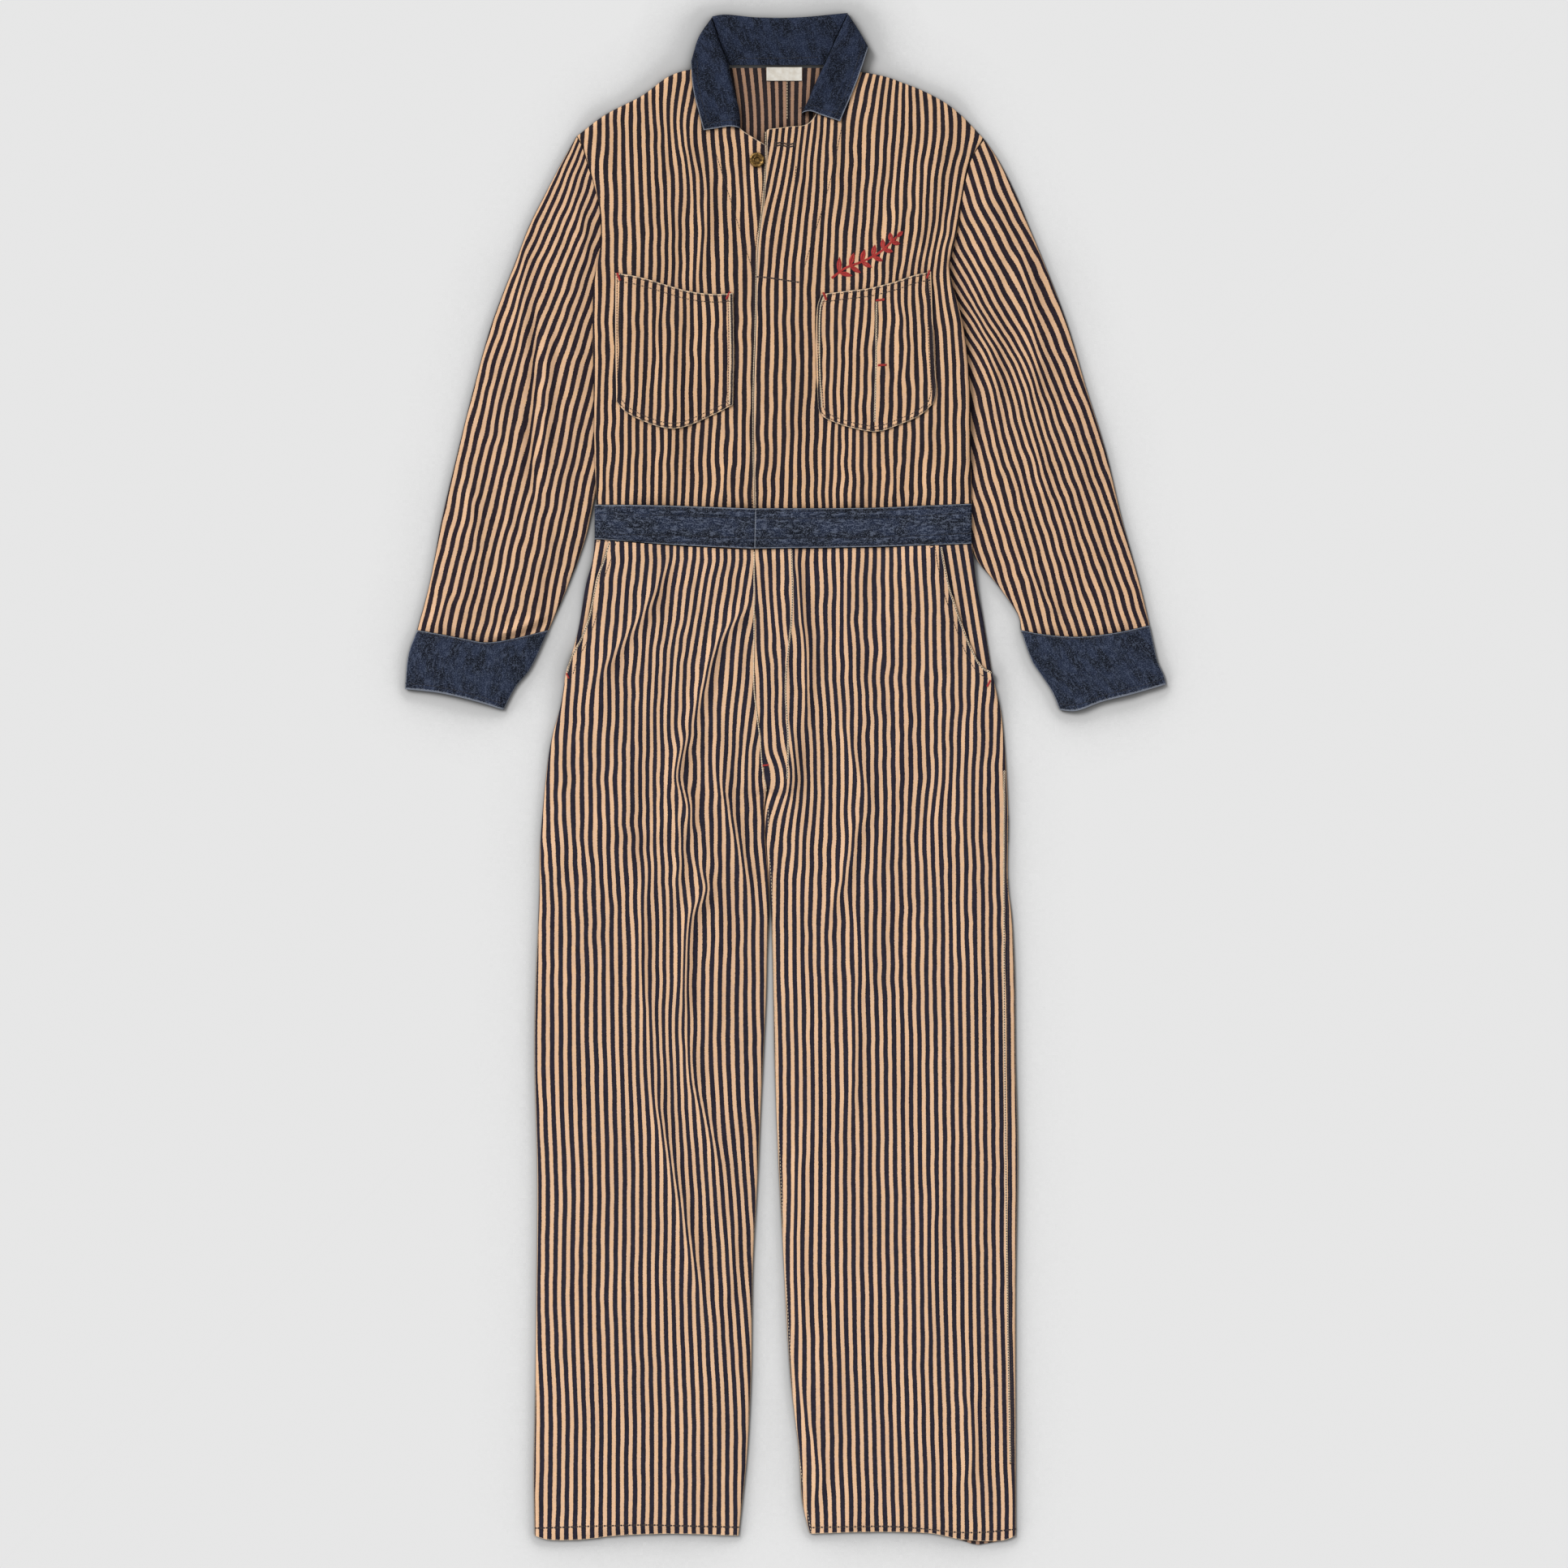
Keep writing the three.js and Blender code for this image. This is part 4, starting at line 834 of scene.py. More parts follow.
def make_weave_effect():
    """Height and mask of a twill's slanting ribs and of its single yarns"""
    inputs = {"Rib": 0.0011, "Yarn": 0.00055, "Slant": 1.6}
    nodes, place, given, ready = effect("twill_weave", inputs, ["Height", "Shade"])
    slanted = nodes.math("MULTIPLY_ADD", place[1], given["Slant"], place[0])
    wobble = nodes.noise(place, (420.0, 420.0), detail=1.0)
    slanted = nodes.math("MULTIPLY_ADD", wobble, 0.0009, slanted)
    rib = nodes.math("SINE", nodes.math("DIVIDE", nodes.math("MULTIPLY", slanted, math.tau), given["Rib"]))
    yarn = nodes.math("DIVIDE", nodes.math("MULTIPLY", place[0], math.tau), given["Yarn"])
    yarn = nodes.math("SINE", yarn)
    height = nodes.math("MULTIPLY_ADD", rib, 0.32, 0.5)
    height = nodes.math("MULTIPLY_ADD", yarn, 0.16, height)
    grain = nodes.noise(place, (1800.0, 1100.0), detail=2.0)
    height = nodes.math("MULTIPLY_ADD", nodes.math("SUBTRACT", grain, 0.5), 0.5, height)
    nodes.tree.links.new(height, ready["Height"])
    nodes.tree.links.new(nodes.ramp(height, 0.1, 0.9), ready["Shade"])
    return nodes.tree


def make_slub_effect():
    """Mask of pale specks where the weft shows through, drawn out along the cloth"""
    inputs = {"Speck": 0.0012, "Threshold": 0.56, "Shortness": 0.45}
    nodes, place, given, ready = effect("weft_specks", inputs, ["Mask"])
    scale = nodes.math("DIVIDE", 1.0, given["Speck"])
    lengthwise = nodes.math("MULTIPLY", scale, given["Shortness"])
    specks = nodes.noise(place, (scale, lengthwise), detail=2.0, roughness=0.65)
    high = nodes.math("ADD", given["Threshold"], 0.16)
    nodes.tree.links.new(nodes.ramp(specks, given["Threshold"], high), ready["Mask"])
    return nodes.tree


def make_wear_effect():
    """Mask of worn cloth along an edge, from the distance to that edge"""
    inputs = {"Distance": 1.0, "Reach": 0.0022}
    nodes, place, given, ready = effect("worn_edge", inputs, ["Mask"])
    rubbed = nodes.noise(place, (700.0, 700.0), detail=3.0, roughness=0.7)
    reach = nodes.math("MULTIPLY", given["Reach"], nodes.math("MULTIPLY_ADD", rubbed, 2.2, -0.2))
    near = nodes.math("DIVIDE", given["Distance"], nodes.math("MAXIMUM", reach, 0.0001))
    nodes.tree.links.new(nodes.ramp(near, 0.55, 1.15, 1.0, 0.0), ready["Mask"])
    return nodes.tree


def make_fade_effect():
    """Uneven fading of washed cloth, as a share around one half"""
    inputs = {"Patch": 0.05}
    nodes, place, given, ready = effect("wash_fade", inputs, ["Share"])
    scale = nodes.math("DIVIDE", 1.0, given["Patch"])
    patches = nodes.noise(place, (scale, nodes.math("MULTIPLY", scale, 0.5)), detail=4.0, roughness=0.6)
    nodes.tree.links.new(patches, ready["Share"])
    return nodes.tree


STRIPES = make_stripe_effect()
WEAVE = make_weave_effect()
SPECKS = make_slub_effect()
WEAR = make_wear_effect()
FADE = make_fade_effect()


class Finish:
    """A material with one Principled shader, and the cloth's own coordinates to build it from"""

    def __init__(self, name, roughness=0.9, sheen=0.0, metallic=0.0, specular=0.25):
        self.material = bpy.data.materials.new(name)
        self.material.use_nodes = True
        self.nodes = Nodes(self.material.node_tree)
        self.shader = self.material.node_tree.nodes["Principled BSDF"]
        self.shader.inputs["Roughness"].default_value = roughness
        self.shader.inputs["Metallic"].default_value = metallic
        self.shader.inputs["Specular IOR Level"].default_value = specular
        self.shader.inputs["Sheen Weight"].default_value = sheen
        self.shader.inputs["Sheen Roughness"].default_value = 0.6
        uv = self.nodes.add("UVMap", uv_map="cloth").outputs[0]
        place = self.nodes.add("SeparateXYZ", {"Vector": uv})
        self.place = self.across, self.along = place.outputs["X"], place.outputs["Y"]

    def effect(self, group, **values):
        made = self.nodes.tree.nodes.new("ShaderNodeGroup")
        made.node_tree = group
        self.nodes.tree.links.new(self.across, made.inputs["Across"])
        self.nodes.tree.links.new(self.along, made.inputs["Along"])
        for label, value in values.items():
            socket = made.inputs[label.replace("_", " ")]
            if isinstance(value, bpy.types.NodeSocket):
                self.nodes.tree.links.new(value, socket)
            else:
                socket.default_value = value
        return made.outputs

    def edge_distance(self):
        return self.nodes.add("Attribute", attribute_name="edge").outputs["Fac"]

    def colour(self, socket, painted_hollow_shade=None):
        """Sets the colour, with painted shade that darkens it in narrow recesses, by a pair of shares of open
        sky
        """
        if painted_hollow_shade is not None:
            # Painted shade: the colour is darkened where the occlusion node finds little open sky
            sky_share_for_painted_shade = self.nodes.add("AmbientOcclusion", {"Distance": 0.016}, samples=6).outputs["AO"]
            socket = self.nodes.times(socket, self.nodes.ramp(sky_share_for_painted_shade, *painted_hollow_shade, 0.34, 1.0, "LINEAR"))
        self.nodes.tree.links.new(socket, self.shader.inputs["Base Color"])

    def raise_by(self, height, distance, strength=1.0):
        bump = self.nodes.add("Bump", {"Height": height, "Distance": distance, "Strength": strength})
        self.nodes.tree.links.new(bump.outputs[0], self.shader.inputs["Normal"])


def striped_twill(name, pale, dark, core, edge_wear=True, dark_share=0.55, lighter_below=None):
    """Navy stripes with dark edges on tan; the last argument gives two heights and the gain at the lower one,
    so the cloth is lighter towards the hems
    """
    finish = Finish(name, roughness=0.95, specular=0.08)
    nodes = finish.nodes
    weave = finish.effect(WEAVE)
    woven = finish.effect(STRIPES, Dark_Share=dark_share)
    stripes = woven["Mask"]
    fade = finish.effect(FADE)["Share"]
    flecks = finish.effect(SPECKS, Speck=0.0008, Threshold=0.6)["Mask"]
    pale_cloth = nodes.mix(nodes.ramp(fade, 0.35, 0.65), tone(*(value * 0.95 for value in pale)), tone(*pale))
    mottle = finish.effect(FADE, Patch=0.0035)["Share"]
    golden = tone(pale[0] * 0.99, pale[1] * 0.98, pale[2] * 0.94)
    pale_cloth = nodes.mix(nodes.ramp(mottle, 0.42, 0.6), pale_cloth, golden)
    pale_cloth = nodes.mix(nodes.math("MULTIPLY", flecks, 0.4), pale_cloth, tone(252, 230, 200))
    navy = nodes.mix(nodes.ramp(mottle, 0.38, 0.62), tone(*(value * 0.84 for value in core)), tone(*core))
    navy = nodes.mix(nodes.math("MULTIPLY", flecks, 0.45), navy, tone(*(value * 1.5 for value in core)))
    dark_cloth = nodes.mix(woven["Core"], tone(*dark), navy)
    cloth = nodes.mix(stripes, pale_cloth, dark_cloth)
    shade = nodes.ramp(weave["Shade"], 0.0, 1.0, 0.78, 1.077)
    if lighter_below is not None:
        low, high, gain = lighter_below
        shade = nodes.math("MULTIPLY", shade, nodes.ramp(finish.along, low, high, gain, 1.0))
    cloth = nodes.times(cloth, shade)
    if edge_wear:
        worn = finish.effect(WEAR, Distance=finish.edge_distance(), Reach=0.0011)["Mask"]
        cloth = nodes.mix(nodes.math("MULTIPLY", worn, 0.7), cloth, tone(232, 208, 180))
    # Painted shade darkens the cloth in its creases and beside raised edges
    finish.colour(cloth, painted_hollow_shade=(0.4, 0.9))
    finish.raise_by(weave["Height"], 0.00022)
    return finish.material


def dark_denim(name, body=(27, 33, 48), specks=(92, 103, 129), streaked=0.2):
    finish = Finish(name, roughness=0.95, specular=0.1)
    nodes = finish.nodes
    weave = finish.effect(WEAVE, Rib=0.0018, Yarn=0.0008)
    streaks = finish.effect(SPECKS, Speck=0.0024, Threshold=0.49, Shortness=0.36)["Mask"]
    fine = finish.effect(SPECKS, Speck=0.001, Threshold=0.5, Shortness=0.8)["Mask"]
    fade = finish.effect(FADE, Patch=0.016)["Share"]
    lifted = tuple(value * 1.32 for value in body)
    cloth = nodes.mix(nodes.ramp(fade, 0.4, 0.6), tone(*(value * 0.62 for value in body)), tone(*lifted))
    cloth = nodes.mix(nodes.math("MULTIPLY", streaks, streaked), cloth, tone(*specks))
    cloth = nodes.mix(nodes.math("MULTIPLY", fine, 0.55), cloth, tone(*specks))
    shade = nodes.ramp(weave["Shade"], 0.0, 1.0, 0.72, 1.14)
    cloth = nodes.times(cloth, shade)
    worn = finish.effect(WEAR, Distance=finish.edge_distance(), Reach=0.0013)["Mask"]
    cloth = nodes.mix(nodes.math("MULTIPLY", worn, 0.6), cloth, tone(150, 156, 168))
    # Painted shade darkens the denim in its creases and beside raised edges
    finish.colour(cloth, painted_hollow_shade=(0.4, 0.88))
    finish.raise_by(weave["Height"], 0.0003)
    return finish.material


def sewing_thread(name, colour):
    finish = Finish(name, roughness=0.7, sheen=0.2, specular=0.3)
    nodes = finish.nodes
    twist = nodes.noise(finish.place, (900.0, 2600.0), detail=1.0)
    darker = tone(*(value * 0.78 for value in colour))
    finish.colour(nodes.mix(nodes.ramp(twist, 0.35, 0.65), darker, tone(*colour)))
    finish.raise_by(twist, 0.0001)
    return finish.material


def cut_edge():
    """The cut or turned edge of the cloth, where pale yarn ends show"""
    finish = Finish("turned_edge", roughness=0.95, sheen=0.1, specular=0.15)
    nodes = finish.nodes
    stripes = finish.effect(STRIPES)["Mask"]
    yarns = nodes.noise(finish.place, (1400.0, 1400.0), detail=2.0)
    pale = nodes.mix(yarns, tone(150, 126, 104), tone(206, 184, 158))
    finish.colour(nodes.mix(nodes.math("MULTIPLY", stripes, 0.8), pale, tone(58, 56, 66)))
    finish.raise_by(yarns, 0.0002)
    return finish.material


def aged_brass():
    finish = Finish("aged_brass", roughness=0.42, metallic=0.85, specular=0.5)
    nodes = finish.nodes
    tarnish = nodes.noise(finish.place, (420.0, 420.0), detail=4.0, roughness=0.7)
    brass = nodes.mix(nodes.ramp(tarnish, 0.36, 0.66), tone(78, 58, 32), tone(178, 140, 80))
    # Painted shade darkens the brass in the button's recesses
    finish.colour(brass, painted_hollow_shade=(0.45, 0.95))
    rough = nodes.ramp(tarnish, 0.3, 0.7, 0.6, 0.36)
    nodes.tree.links.new(rough, finish.shader.inputs["Roughness"])
    finish.raise_by(tarnish, 0.00015)
    return finish.material


def label_tape():
    finish = Finish("label_tape", roughness=0.85, sheen=0.1)
    nodes = finish.nodes
    rows = nodes.math("SINE", nodes.math("MULTIPLY", finish.along, math.tau / 0.0006))
    soiled = nodes.noise(finish.place, (160.0, 160.0), detail=3.0)
    finish.colour(nodes.mix(nodes.ramp(soiled, 0.3, 0.7), tone(222, 214, 200), tone(240, 236, 227)))
    finish.raise_by(rows, 0.0001)
    return finish.material


def pale_floor_painted_shadow():
    """Matt pale floor with a painted soft shadow where something lies close to it"""
    finish = Finish("pale_floor_painted_shadow", roughness=1.0, specular=0.0)
    nodes = finish.nodes
    sky_share_for_painted_shade = nodes.add("AmbientOcclusion", {"Distance": 0.07}, samples=32).outputs["AO"]
    # Painted shadow: a wide soft halo near the garment, times deeper painted shade in narrow gaps between its
    # parts
    near = nodes.ramp(sky_share_for_painted_shade, 0.972, 0.998, 0.7, 1.0, "LINEAR")
    around = nodes.ramp(sky_share_for_painted_shade, 0.4, 0.95, 0.3, 1.0, "LINEAR")
    finish.colour(nodes.times(tone(*FLOOR_TONE), nodes.math("MULTIPLY", near, around)))
    return finish.material


LEG_TWILL = striped_twill(
    "leg_twill", (249, 205, 169), (17, 11, 14), (50, 47, 60), lighter_below=(-0.75, 0.15, 1.04),
)
BODICE_TWILL = striped_twill("bodice_twill", (244, 199, 161), (16, 9, 10), (49, 43, 50))
SLEEVE_TWILL = striped_twill("sleeve_twill", (243, 199, 163), (21, 12, 14), (52, 43, 51), dark_share=0.54)
# The twill's reverse side: duller than its face, and also painted darker as the shade inside the garment
# where it shows at the neck
TWILL_REVERSE_PAINTED_SHADE = striped_twill(
    "twill_reverse_painted_shade", (182, 144, 121), (22, 16, 16), (52, 45, 48), dark_share=0.57, edge_wear=False,
)
TURNED_EDGE = cut_edge()
DENIM = dark_denim("collar_denim")
BAND_DENIM = dark_denim("waistband_denim", body=(27, 33, 48), specks=(128, 138, 160), streaked=0.4)
CUFF_DENIM = dark_denim("cuff_denim", body=(30, 36, 51), specks=(106, 117, 141), streaked=0.26)
DARK_THREAD = sewing_thread("dark_thread", (52, 36, 34))
CREAM_THREAD = sewing_thread("cream_thread", (236, 214, 184))
RED_THREAD = sewing_thread("red_thread", (196, 44, 40))
BLUE_THREAD = sewing_thread("blue_thread", (26, 30, 46))
BRASS = aged_brass()
TAPE = label_tape()

LEG_SIDES = [LEG_TWILL, TWILL_REVERSE_PAINTED_SHADE, TURNED_EDGE]
SLEEVE_SIDES = [SLEEVE_TWILL, TWILL_REVERSE_PAINTED_SHADE, TURNED_EDGE]
BODICE_SIDES = [BODICE_TWILL, TWILL_REVERSE_PAINTED_SHADE, TURNED_EDGE]
# A back lies face down, so its reverse is on top
LEG_BACK_SIDES = [TWILL_REVERSE_PAINTED_SHADE, LEG_TWILL, TURNED_EDGE]
BODICE_BACK_SIDES = [TWILL_REVERSE_PAINTED_SHADE, BODICE_TWILL, TURNED_EDGE]


# Backs
FAR = 50.0  # an edge distance with no wear


def far_edge(cut):
    return np.full(cut.x.shape, FAR)


def back_stripes(x, y):
    """The backs' stripes lean away from the neck towards the armholes"""
    lean = ease((y - 600) / 120) * np.clip(-(x - 3) / 60, -0.6, 1.0)
    return np.stack([x - 3 - lean * (746 - y) * 0.17, y], axis=-1)


def make_back(name, cut, sides):
    under = back_lift(cut.x, cut.y)
    stripes = back_stripes(cut.x, cut.y)
    piece = cloth_wall(name + "_cloth", cut, under, under + CLOTH, sides, stripes, far_edge(cut))
    lay(name, cut)
    return piece


def bodice_backs():
    middle = [("centre_back", 15)]
    closed = {"bottom": HALF_SEAM, "top": BACK_INSET}
    right = Cut(
        bottom=[("waist_back_right", 8)],
        top=[("shoulder_right", 6), ("neck_back_right", 2)],
        left=[("side_right", 10), ("armhole_right", 5)],
        right=middle, size=(200, 460), cell=BACK_CELL,
        drawn={**closed, "left": BACK_INSET, "right": HALF_SEAM},
    )
    left = Cut(
        bottom=[("waist_back_left", 8)],
        top=[("neck_back_left", 2), ("shoulder_left", 6)],
        left=middle,
        right=[("side_left", 10), ("armhole_left", 5)],
        size=(200, 460), cell=BACK_CELL,
        drawn={**closed, "left": HALF_SEAM, "right": BACK_INSET},
    )
    return [
        make_back("back_bodice_right", right, BODICE_BACK_SIDES),
        make_back("back_bodice_left", left, BODICE_BACK_SIDES),
    ]


def leg_backs():
    closed = {"bottom": HALF_SEAM, "top": HALF_SEAM, "left": BACK_INSET, "right": BACK_INSET}
    right = Cut(
        bottom=[("hem_right", 4)],
        top=[("leg_top_back_right", 4)],
        left=[("outseam_right", 29), ("hip_right", 5)],
        right=[("inseam_right", 26), ("rise_back", 8)],
        size=(215, 1040), cell=BACK_CELL, drawn=closed,
    )
    left = Cut(
        bottom=[("hem_back_left", 2), ("hem_back_left_dip", 1), ("hem_back_left_rise", 1)],
        top=[("leg_top_back_left", 4)],
        left=[("inseam_left", 26), ("rise_back", 8)],
        right=[("outseam_left", 29), ("hip_left", 5)],
        size=(215, 1040), cell=BACK_CELL, drawn=closed,
    )
    return [
        make_back("back_leg_right", right, LEG_BACK_SIDES),
        make_back("back_leg_left", left, LEG_BACK_SIDES),
    ]


# Fronts
def front_walls(cut, closed, sewn, lap=0.0):
    """Under and upper heights of a front piece: rolled down at closed edges, sunk at sewn ones"""
    lift = front_lift(cut.x, cut.y)
    pucker = 0.5 * wander(cut.x, cut.y, 5.5, 9, 21) * np.exp(-cut.nearest(*sewn) / 9)
    rise = front_rise(cut.x, cut.y) * ease(cut.nearest(*sewn) / 11 + 0.08) + pucker
    share = rolled(cut.nearest(*closed)) if closed else 1.0
    under = lift + (FRONT_BASE + lap + rise) * share
    return under, under + CLOTH


def bodice_fronts():
    right = Cut(
        bottom=[("waist_right", 9), ("waist_underlap", 1)],
        top=[("shoulder_right", 10)],
        left=[("side_right", 10), ("armhole_right", 5)],
        right=[("underlap_edge", 10), ("neckline_right", 5)],
        size=(195, 460),
    )
    left = Cut(
        bottom=[("waist_left", 10)],
        top=[("shoulder_left", 10)],
        left=[("placket_edge", 10), ("neckline_left", 5)],
        right=[("side_left", 10), ("armhole_left", 5)],
        size=(215, 460),
    )
    under, over = front_walls(right, closed=["left", "top"], sewn=["bottom"])
    cloth = striped_cloth("front_bodice_right", right.x, right.y, BODY_FOLDS, left=right.distance("left"))
    right_piece = cloth_wall(
        "front_bodice_right_cloth", right, under, over, BODICE_SIDES, cloth, right.distance("right"),
    )
    lay("front_bodice_right", right)
    lap = LAP * closure_lap(left.x, left.y)
    under, over = front_walls(left, closed=["right", "top"], sewn=["bottom"], lap=lap)
    cloth = striped_cloth("front_bodice_left", left.x, left.y, BODY_FOLDS, right=left.distance("right"))
    left_piece = cloth_wall(
        "front_bodice_left_cloth", left, under, over, BODICE_SIDES, cloth, left.distance("left"),
    )
    lay("front_bodice_left", left)
    return [right_piece, left_piece]


def closing(edge):
    """How far each leg's edge reaches out so that the legs nearly touch just below the fly"""
    y = edge[..., 1]
    apart = x_at(LINES["inseam_left"], y) - x_at(LINES["inseam_right"], y)
    near_fly = ease((CROTCH + 2 - y) / 10) * ease((y + 135) / 50)
    return (np.clip(apart / 2 + HALF_SEAM - 0.12, 0, 1.6) * near_fly)[..., None]


def leg_fronts():
    right = Cut(
        bottom=[("hem_right", 12)],
        top=[("leg_top_right", 12)],
        left=[("outseam_right", 29), ("mouth_right", 5)],
        right=[("inseam_right", 26), ("fly_under", 8)],
        size=(225, 1040),
    )
    left = Cut(
        bottom=[("hem_left", 12)],
        top=[("leg_top_left", 12)],
        left=[("inseam_left", 26), ("fly_edge", 8)],
        right=[("outseam_left", 29), ("mouth_left", 5)],
        size=(225, 1040),
    )
    right.draw_in("right", -closing(right.edge("right")))
    left.draw_in("left", -closing(left.edge("left")))
    made = []
    for name, cut in (("front_leg_right", right), ("front_leg_left", left)):
        lap = mouth_lap(cut.x, cut.y)
        if name == "front_leg_left":
            lap = np.maximum(lap, closure_lap(cut.x, cut.y))
        outer, inner = ("left", "right") if name == "front_leg_right" else ("right", "left")
        outseam = cut.distance(outer) + 40 * ease((cut.y - 100) / 20)
        inseam = cut.distance(inner) + 40 * ease((cut.y - CROTCH - 4) / 20)
        under, over = front_walls(cut, closed=None, sewn=["top", "bottom"], lap=LAP * lap)
        share = rolled(np.minimum(outseam, inseam))
        lift = front_lift(cut.x, cut.y)
        over = lift + CLOTH + (over - lift - CLOTH) * share
        turned = {outer: outseam, inner: inseam}
        cloth = striped_cloth(name, cut.x, cut.y, BODY_FOLDS, **turned)
        worn = cut.nearest("bottom", inner, outer) + 0.4 + 4 * ease((cut.y + 160) / 60)
        piece = cloth_wall(name + "_cloth", cut, over - CLOTH, over, LEG_SIDES, cloth, worn)
        lay(name, cut)
        made.append(piece)
    return made


def hip_facings():
    """Facings that show beyond the hip pockets' mouths and run a little way under the fronts"""
    underlap, drop = 14, 1.2
    made = []
    for side, inward in (("right", 1), ("left", -1)):
        mouth = [(x + inward * underlap, y) for x, y in LINES["mouth_" + side]]
        mouth[-1] = (mouth[-1][0], mouth[-1][1] - drop)
        hip = LINES["hip_" + side]
        first, second = (hip, mouth) if side == "right" else (mouth, hip)
        cut = Cut(
            bottom=[([first[0], second[0]], 1)], top=[([first[-1], second[-1]], 1)],
            left=[(first, 5)], right=[(second, 5)], size=(30, 140),
        )
        closed = "left" if side == "right" else "right"
        lift = front_lift(cut.x, cut.y)
        full = FRONT_BASE + CLOTH + np.minimum(front_rise(cut.x, cut.y), 0.9 * PUFF)
        over = lift + CLOTH + (full - CLOTH) * rolled(cut.distance(closed))
        slant = cut.x - inward * 0.16 * (cut.y - 180)
        cloth = np.stack([slant, cut.y], axis=-1)
        name = "hip_pocket_facing_" + side
        piece = cloth_wall(name + "_cloth", cut, over - CLOTH, over, LEG_SIDES, cloth, far_edge(cut))
        lay(name, cut)
        made.append(piece)
    return made


def waistband():
    back = Cut(
        bottom=[("leg_top_back_right", 8), ("leg_top_back_left", 8)],
        top=[("waist_back_right", 8), ("waist_back_left", 8)],
        left=[("band_end_right", 1)], right=[("band_end_left", 1)],
        size=(395, 42), cell=BACK_CELL,
        drawn={"left": BACK_INSET, "right": BACK_INSET, "top": HALF_SEAM, "bottom": HALF_SEAM},
    )
    under = back_lift(back.x, back.y)
    back_piece = cloth_wall(
        "waistband_back_cloth", back, under, under + BAND, [BAND_DENIM] * 3,
        plain_cloth(back, False), far_edge(back),
    )
    lay("waistband_back", back)
    right = Cut(
        bottom=[("band_bottom_right", 9), ("band_bottom_underlap", 1)],
        top=[("waist_right", 9), ("waist_underlap", 1)],
        left=[("band_end_right", 1)], right=[("band_end_underlap", 1)],
        size=(190, 42), cell=2.4,
    )
    left = Cut(
        bottom=[("band_bottom_left", 10)], top=[("waist_left", 10)],
        left=[("band_end_over", 1)], right=[("band_end_left", 1)],
        size=(228, 42), cell=2.4,
    )
    made = [back_piece]
    for name, cut, closed, worn_end, lap in (
        ("waistband_front_right", right, "left", "top", 0.0),
        ("waistband_front_left", left, "right", "left", LAP * closure_lap(left.x, left.y)),
    ):
        ropes = 1.2 * wander(cut.x, cut.y, 46, 5.0, 31) + 0.8 * wander(cut.x, cut.y, 15, 3.4, 33)
        ropes += 0.5 * wander(cut.x, cut.y, 5, 5, 35)
        channels = sum(np.exp(-(((cut.distance("top") - row) / 1.3) ** 2)) for row in BAND_ROWS)
        full = BAND + SEAM + BAND + 2.2 + ropes - 1.5 * channels + lap
        full -= 0.7 * (1 - ease(cut.nearest("top", "bottom") / 3))
        over = front_lift(cut.x, cut.y) + BAND + (full - BAND) * rolled(cut.distance(closed))
        worn = np.minimum(cut.nearest("top", "bottom") + 0.3, cut.distance(worn_end))
        cloth = plain_cloth(cut, False)
        piece = cloth_wall(name + "_cloth", cut, over - BAND, over, [BAND_DENIM] * 3, cloth, worn)
        lay(name, cut)
        made.append(piece)
    return made


# Sleeves and cuffs
def outside_body(x, y):
    return np.maximum(x_at(SIDE_RIGHT, y) - x, x - x_at(SIDE_LEFT, y))


def sleeves():
    right = Cut(
        bottom=[("cuff_seam_right", 7)],
        top=[(LINES["armhole_right"][::-1], 5), (LINES["cap_hidden_right"][::-1], 2)],
        left=[("sleeve_outer_right", 20)], right=[("sleeve_inner_right", 20)],
        size=(140, 570),
    )
    left = Cut(
        bottom=[("cuff_seam_left", 7)],
        top=[("cap_hidden_left", 2), ("armhole_left", 5)],
        left=[("sleeve_inner_left", 20)], right=[("sleeve_outer_left", 20)],
        size=(140, 570),
    )
    made = []
    for name, cut in (("sleeve_right", right), ("sleeve_left", left)):
        clear = ease((outside_body(cut.x, cut.y) - 2) / 26)
        inside = cut.nearest("left", "right")
        folds = fold_relief(SLEEVE_FOLDS, cut.x, cut.y)[0] + creases(cut.x, cut.y)
        rise = np.clip(PUFF * ease(inside / 50 + 0.1) + folds * ease(inside / 16), 0, RISE_LIMIT) * clear
        rise = rise * ease(cut.distance("bottom") / 10 + 0.1)
        pucker = 0.5 * wander(cut.x, cut.y, 5.5, 8, 23) * np.exp(-cut.distance("bottom") / 7)
        full = SLEEVE_HEIGHT + rise + pucker
        share = rolled(inside, 4.0)
        middle = SLEEVE_HEIGHT / 2
        over = middle + (full - middle) * share
        under = middle * (1 - share)
        turned = {side: cut.distance(side) for side in ("left", "right")}
        cloth = striped_cloth(name, cut.x, cut.y, SLEEVE_FOLDS, **turned)
        piece = cloth_tube(name + "_cloth", cut, under, over, CLOTH * 0.9, SLEEVE_SIDES, cloth, far_edge(cut))
        lay(name, cut, plies=2)
        made.append(piece)
    return made


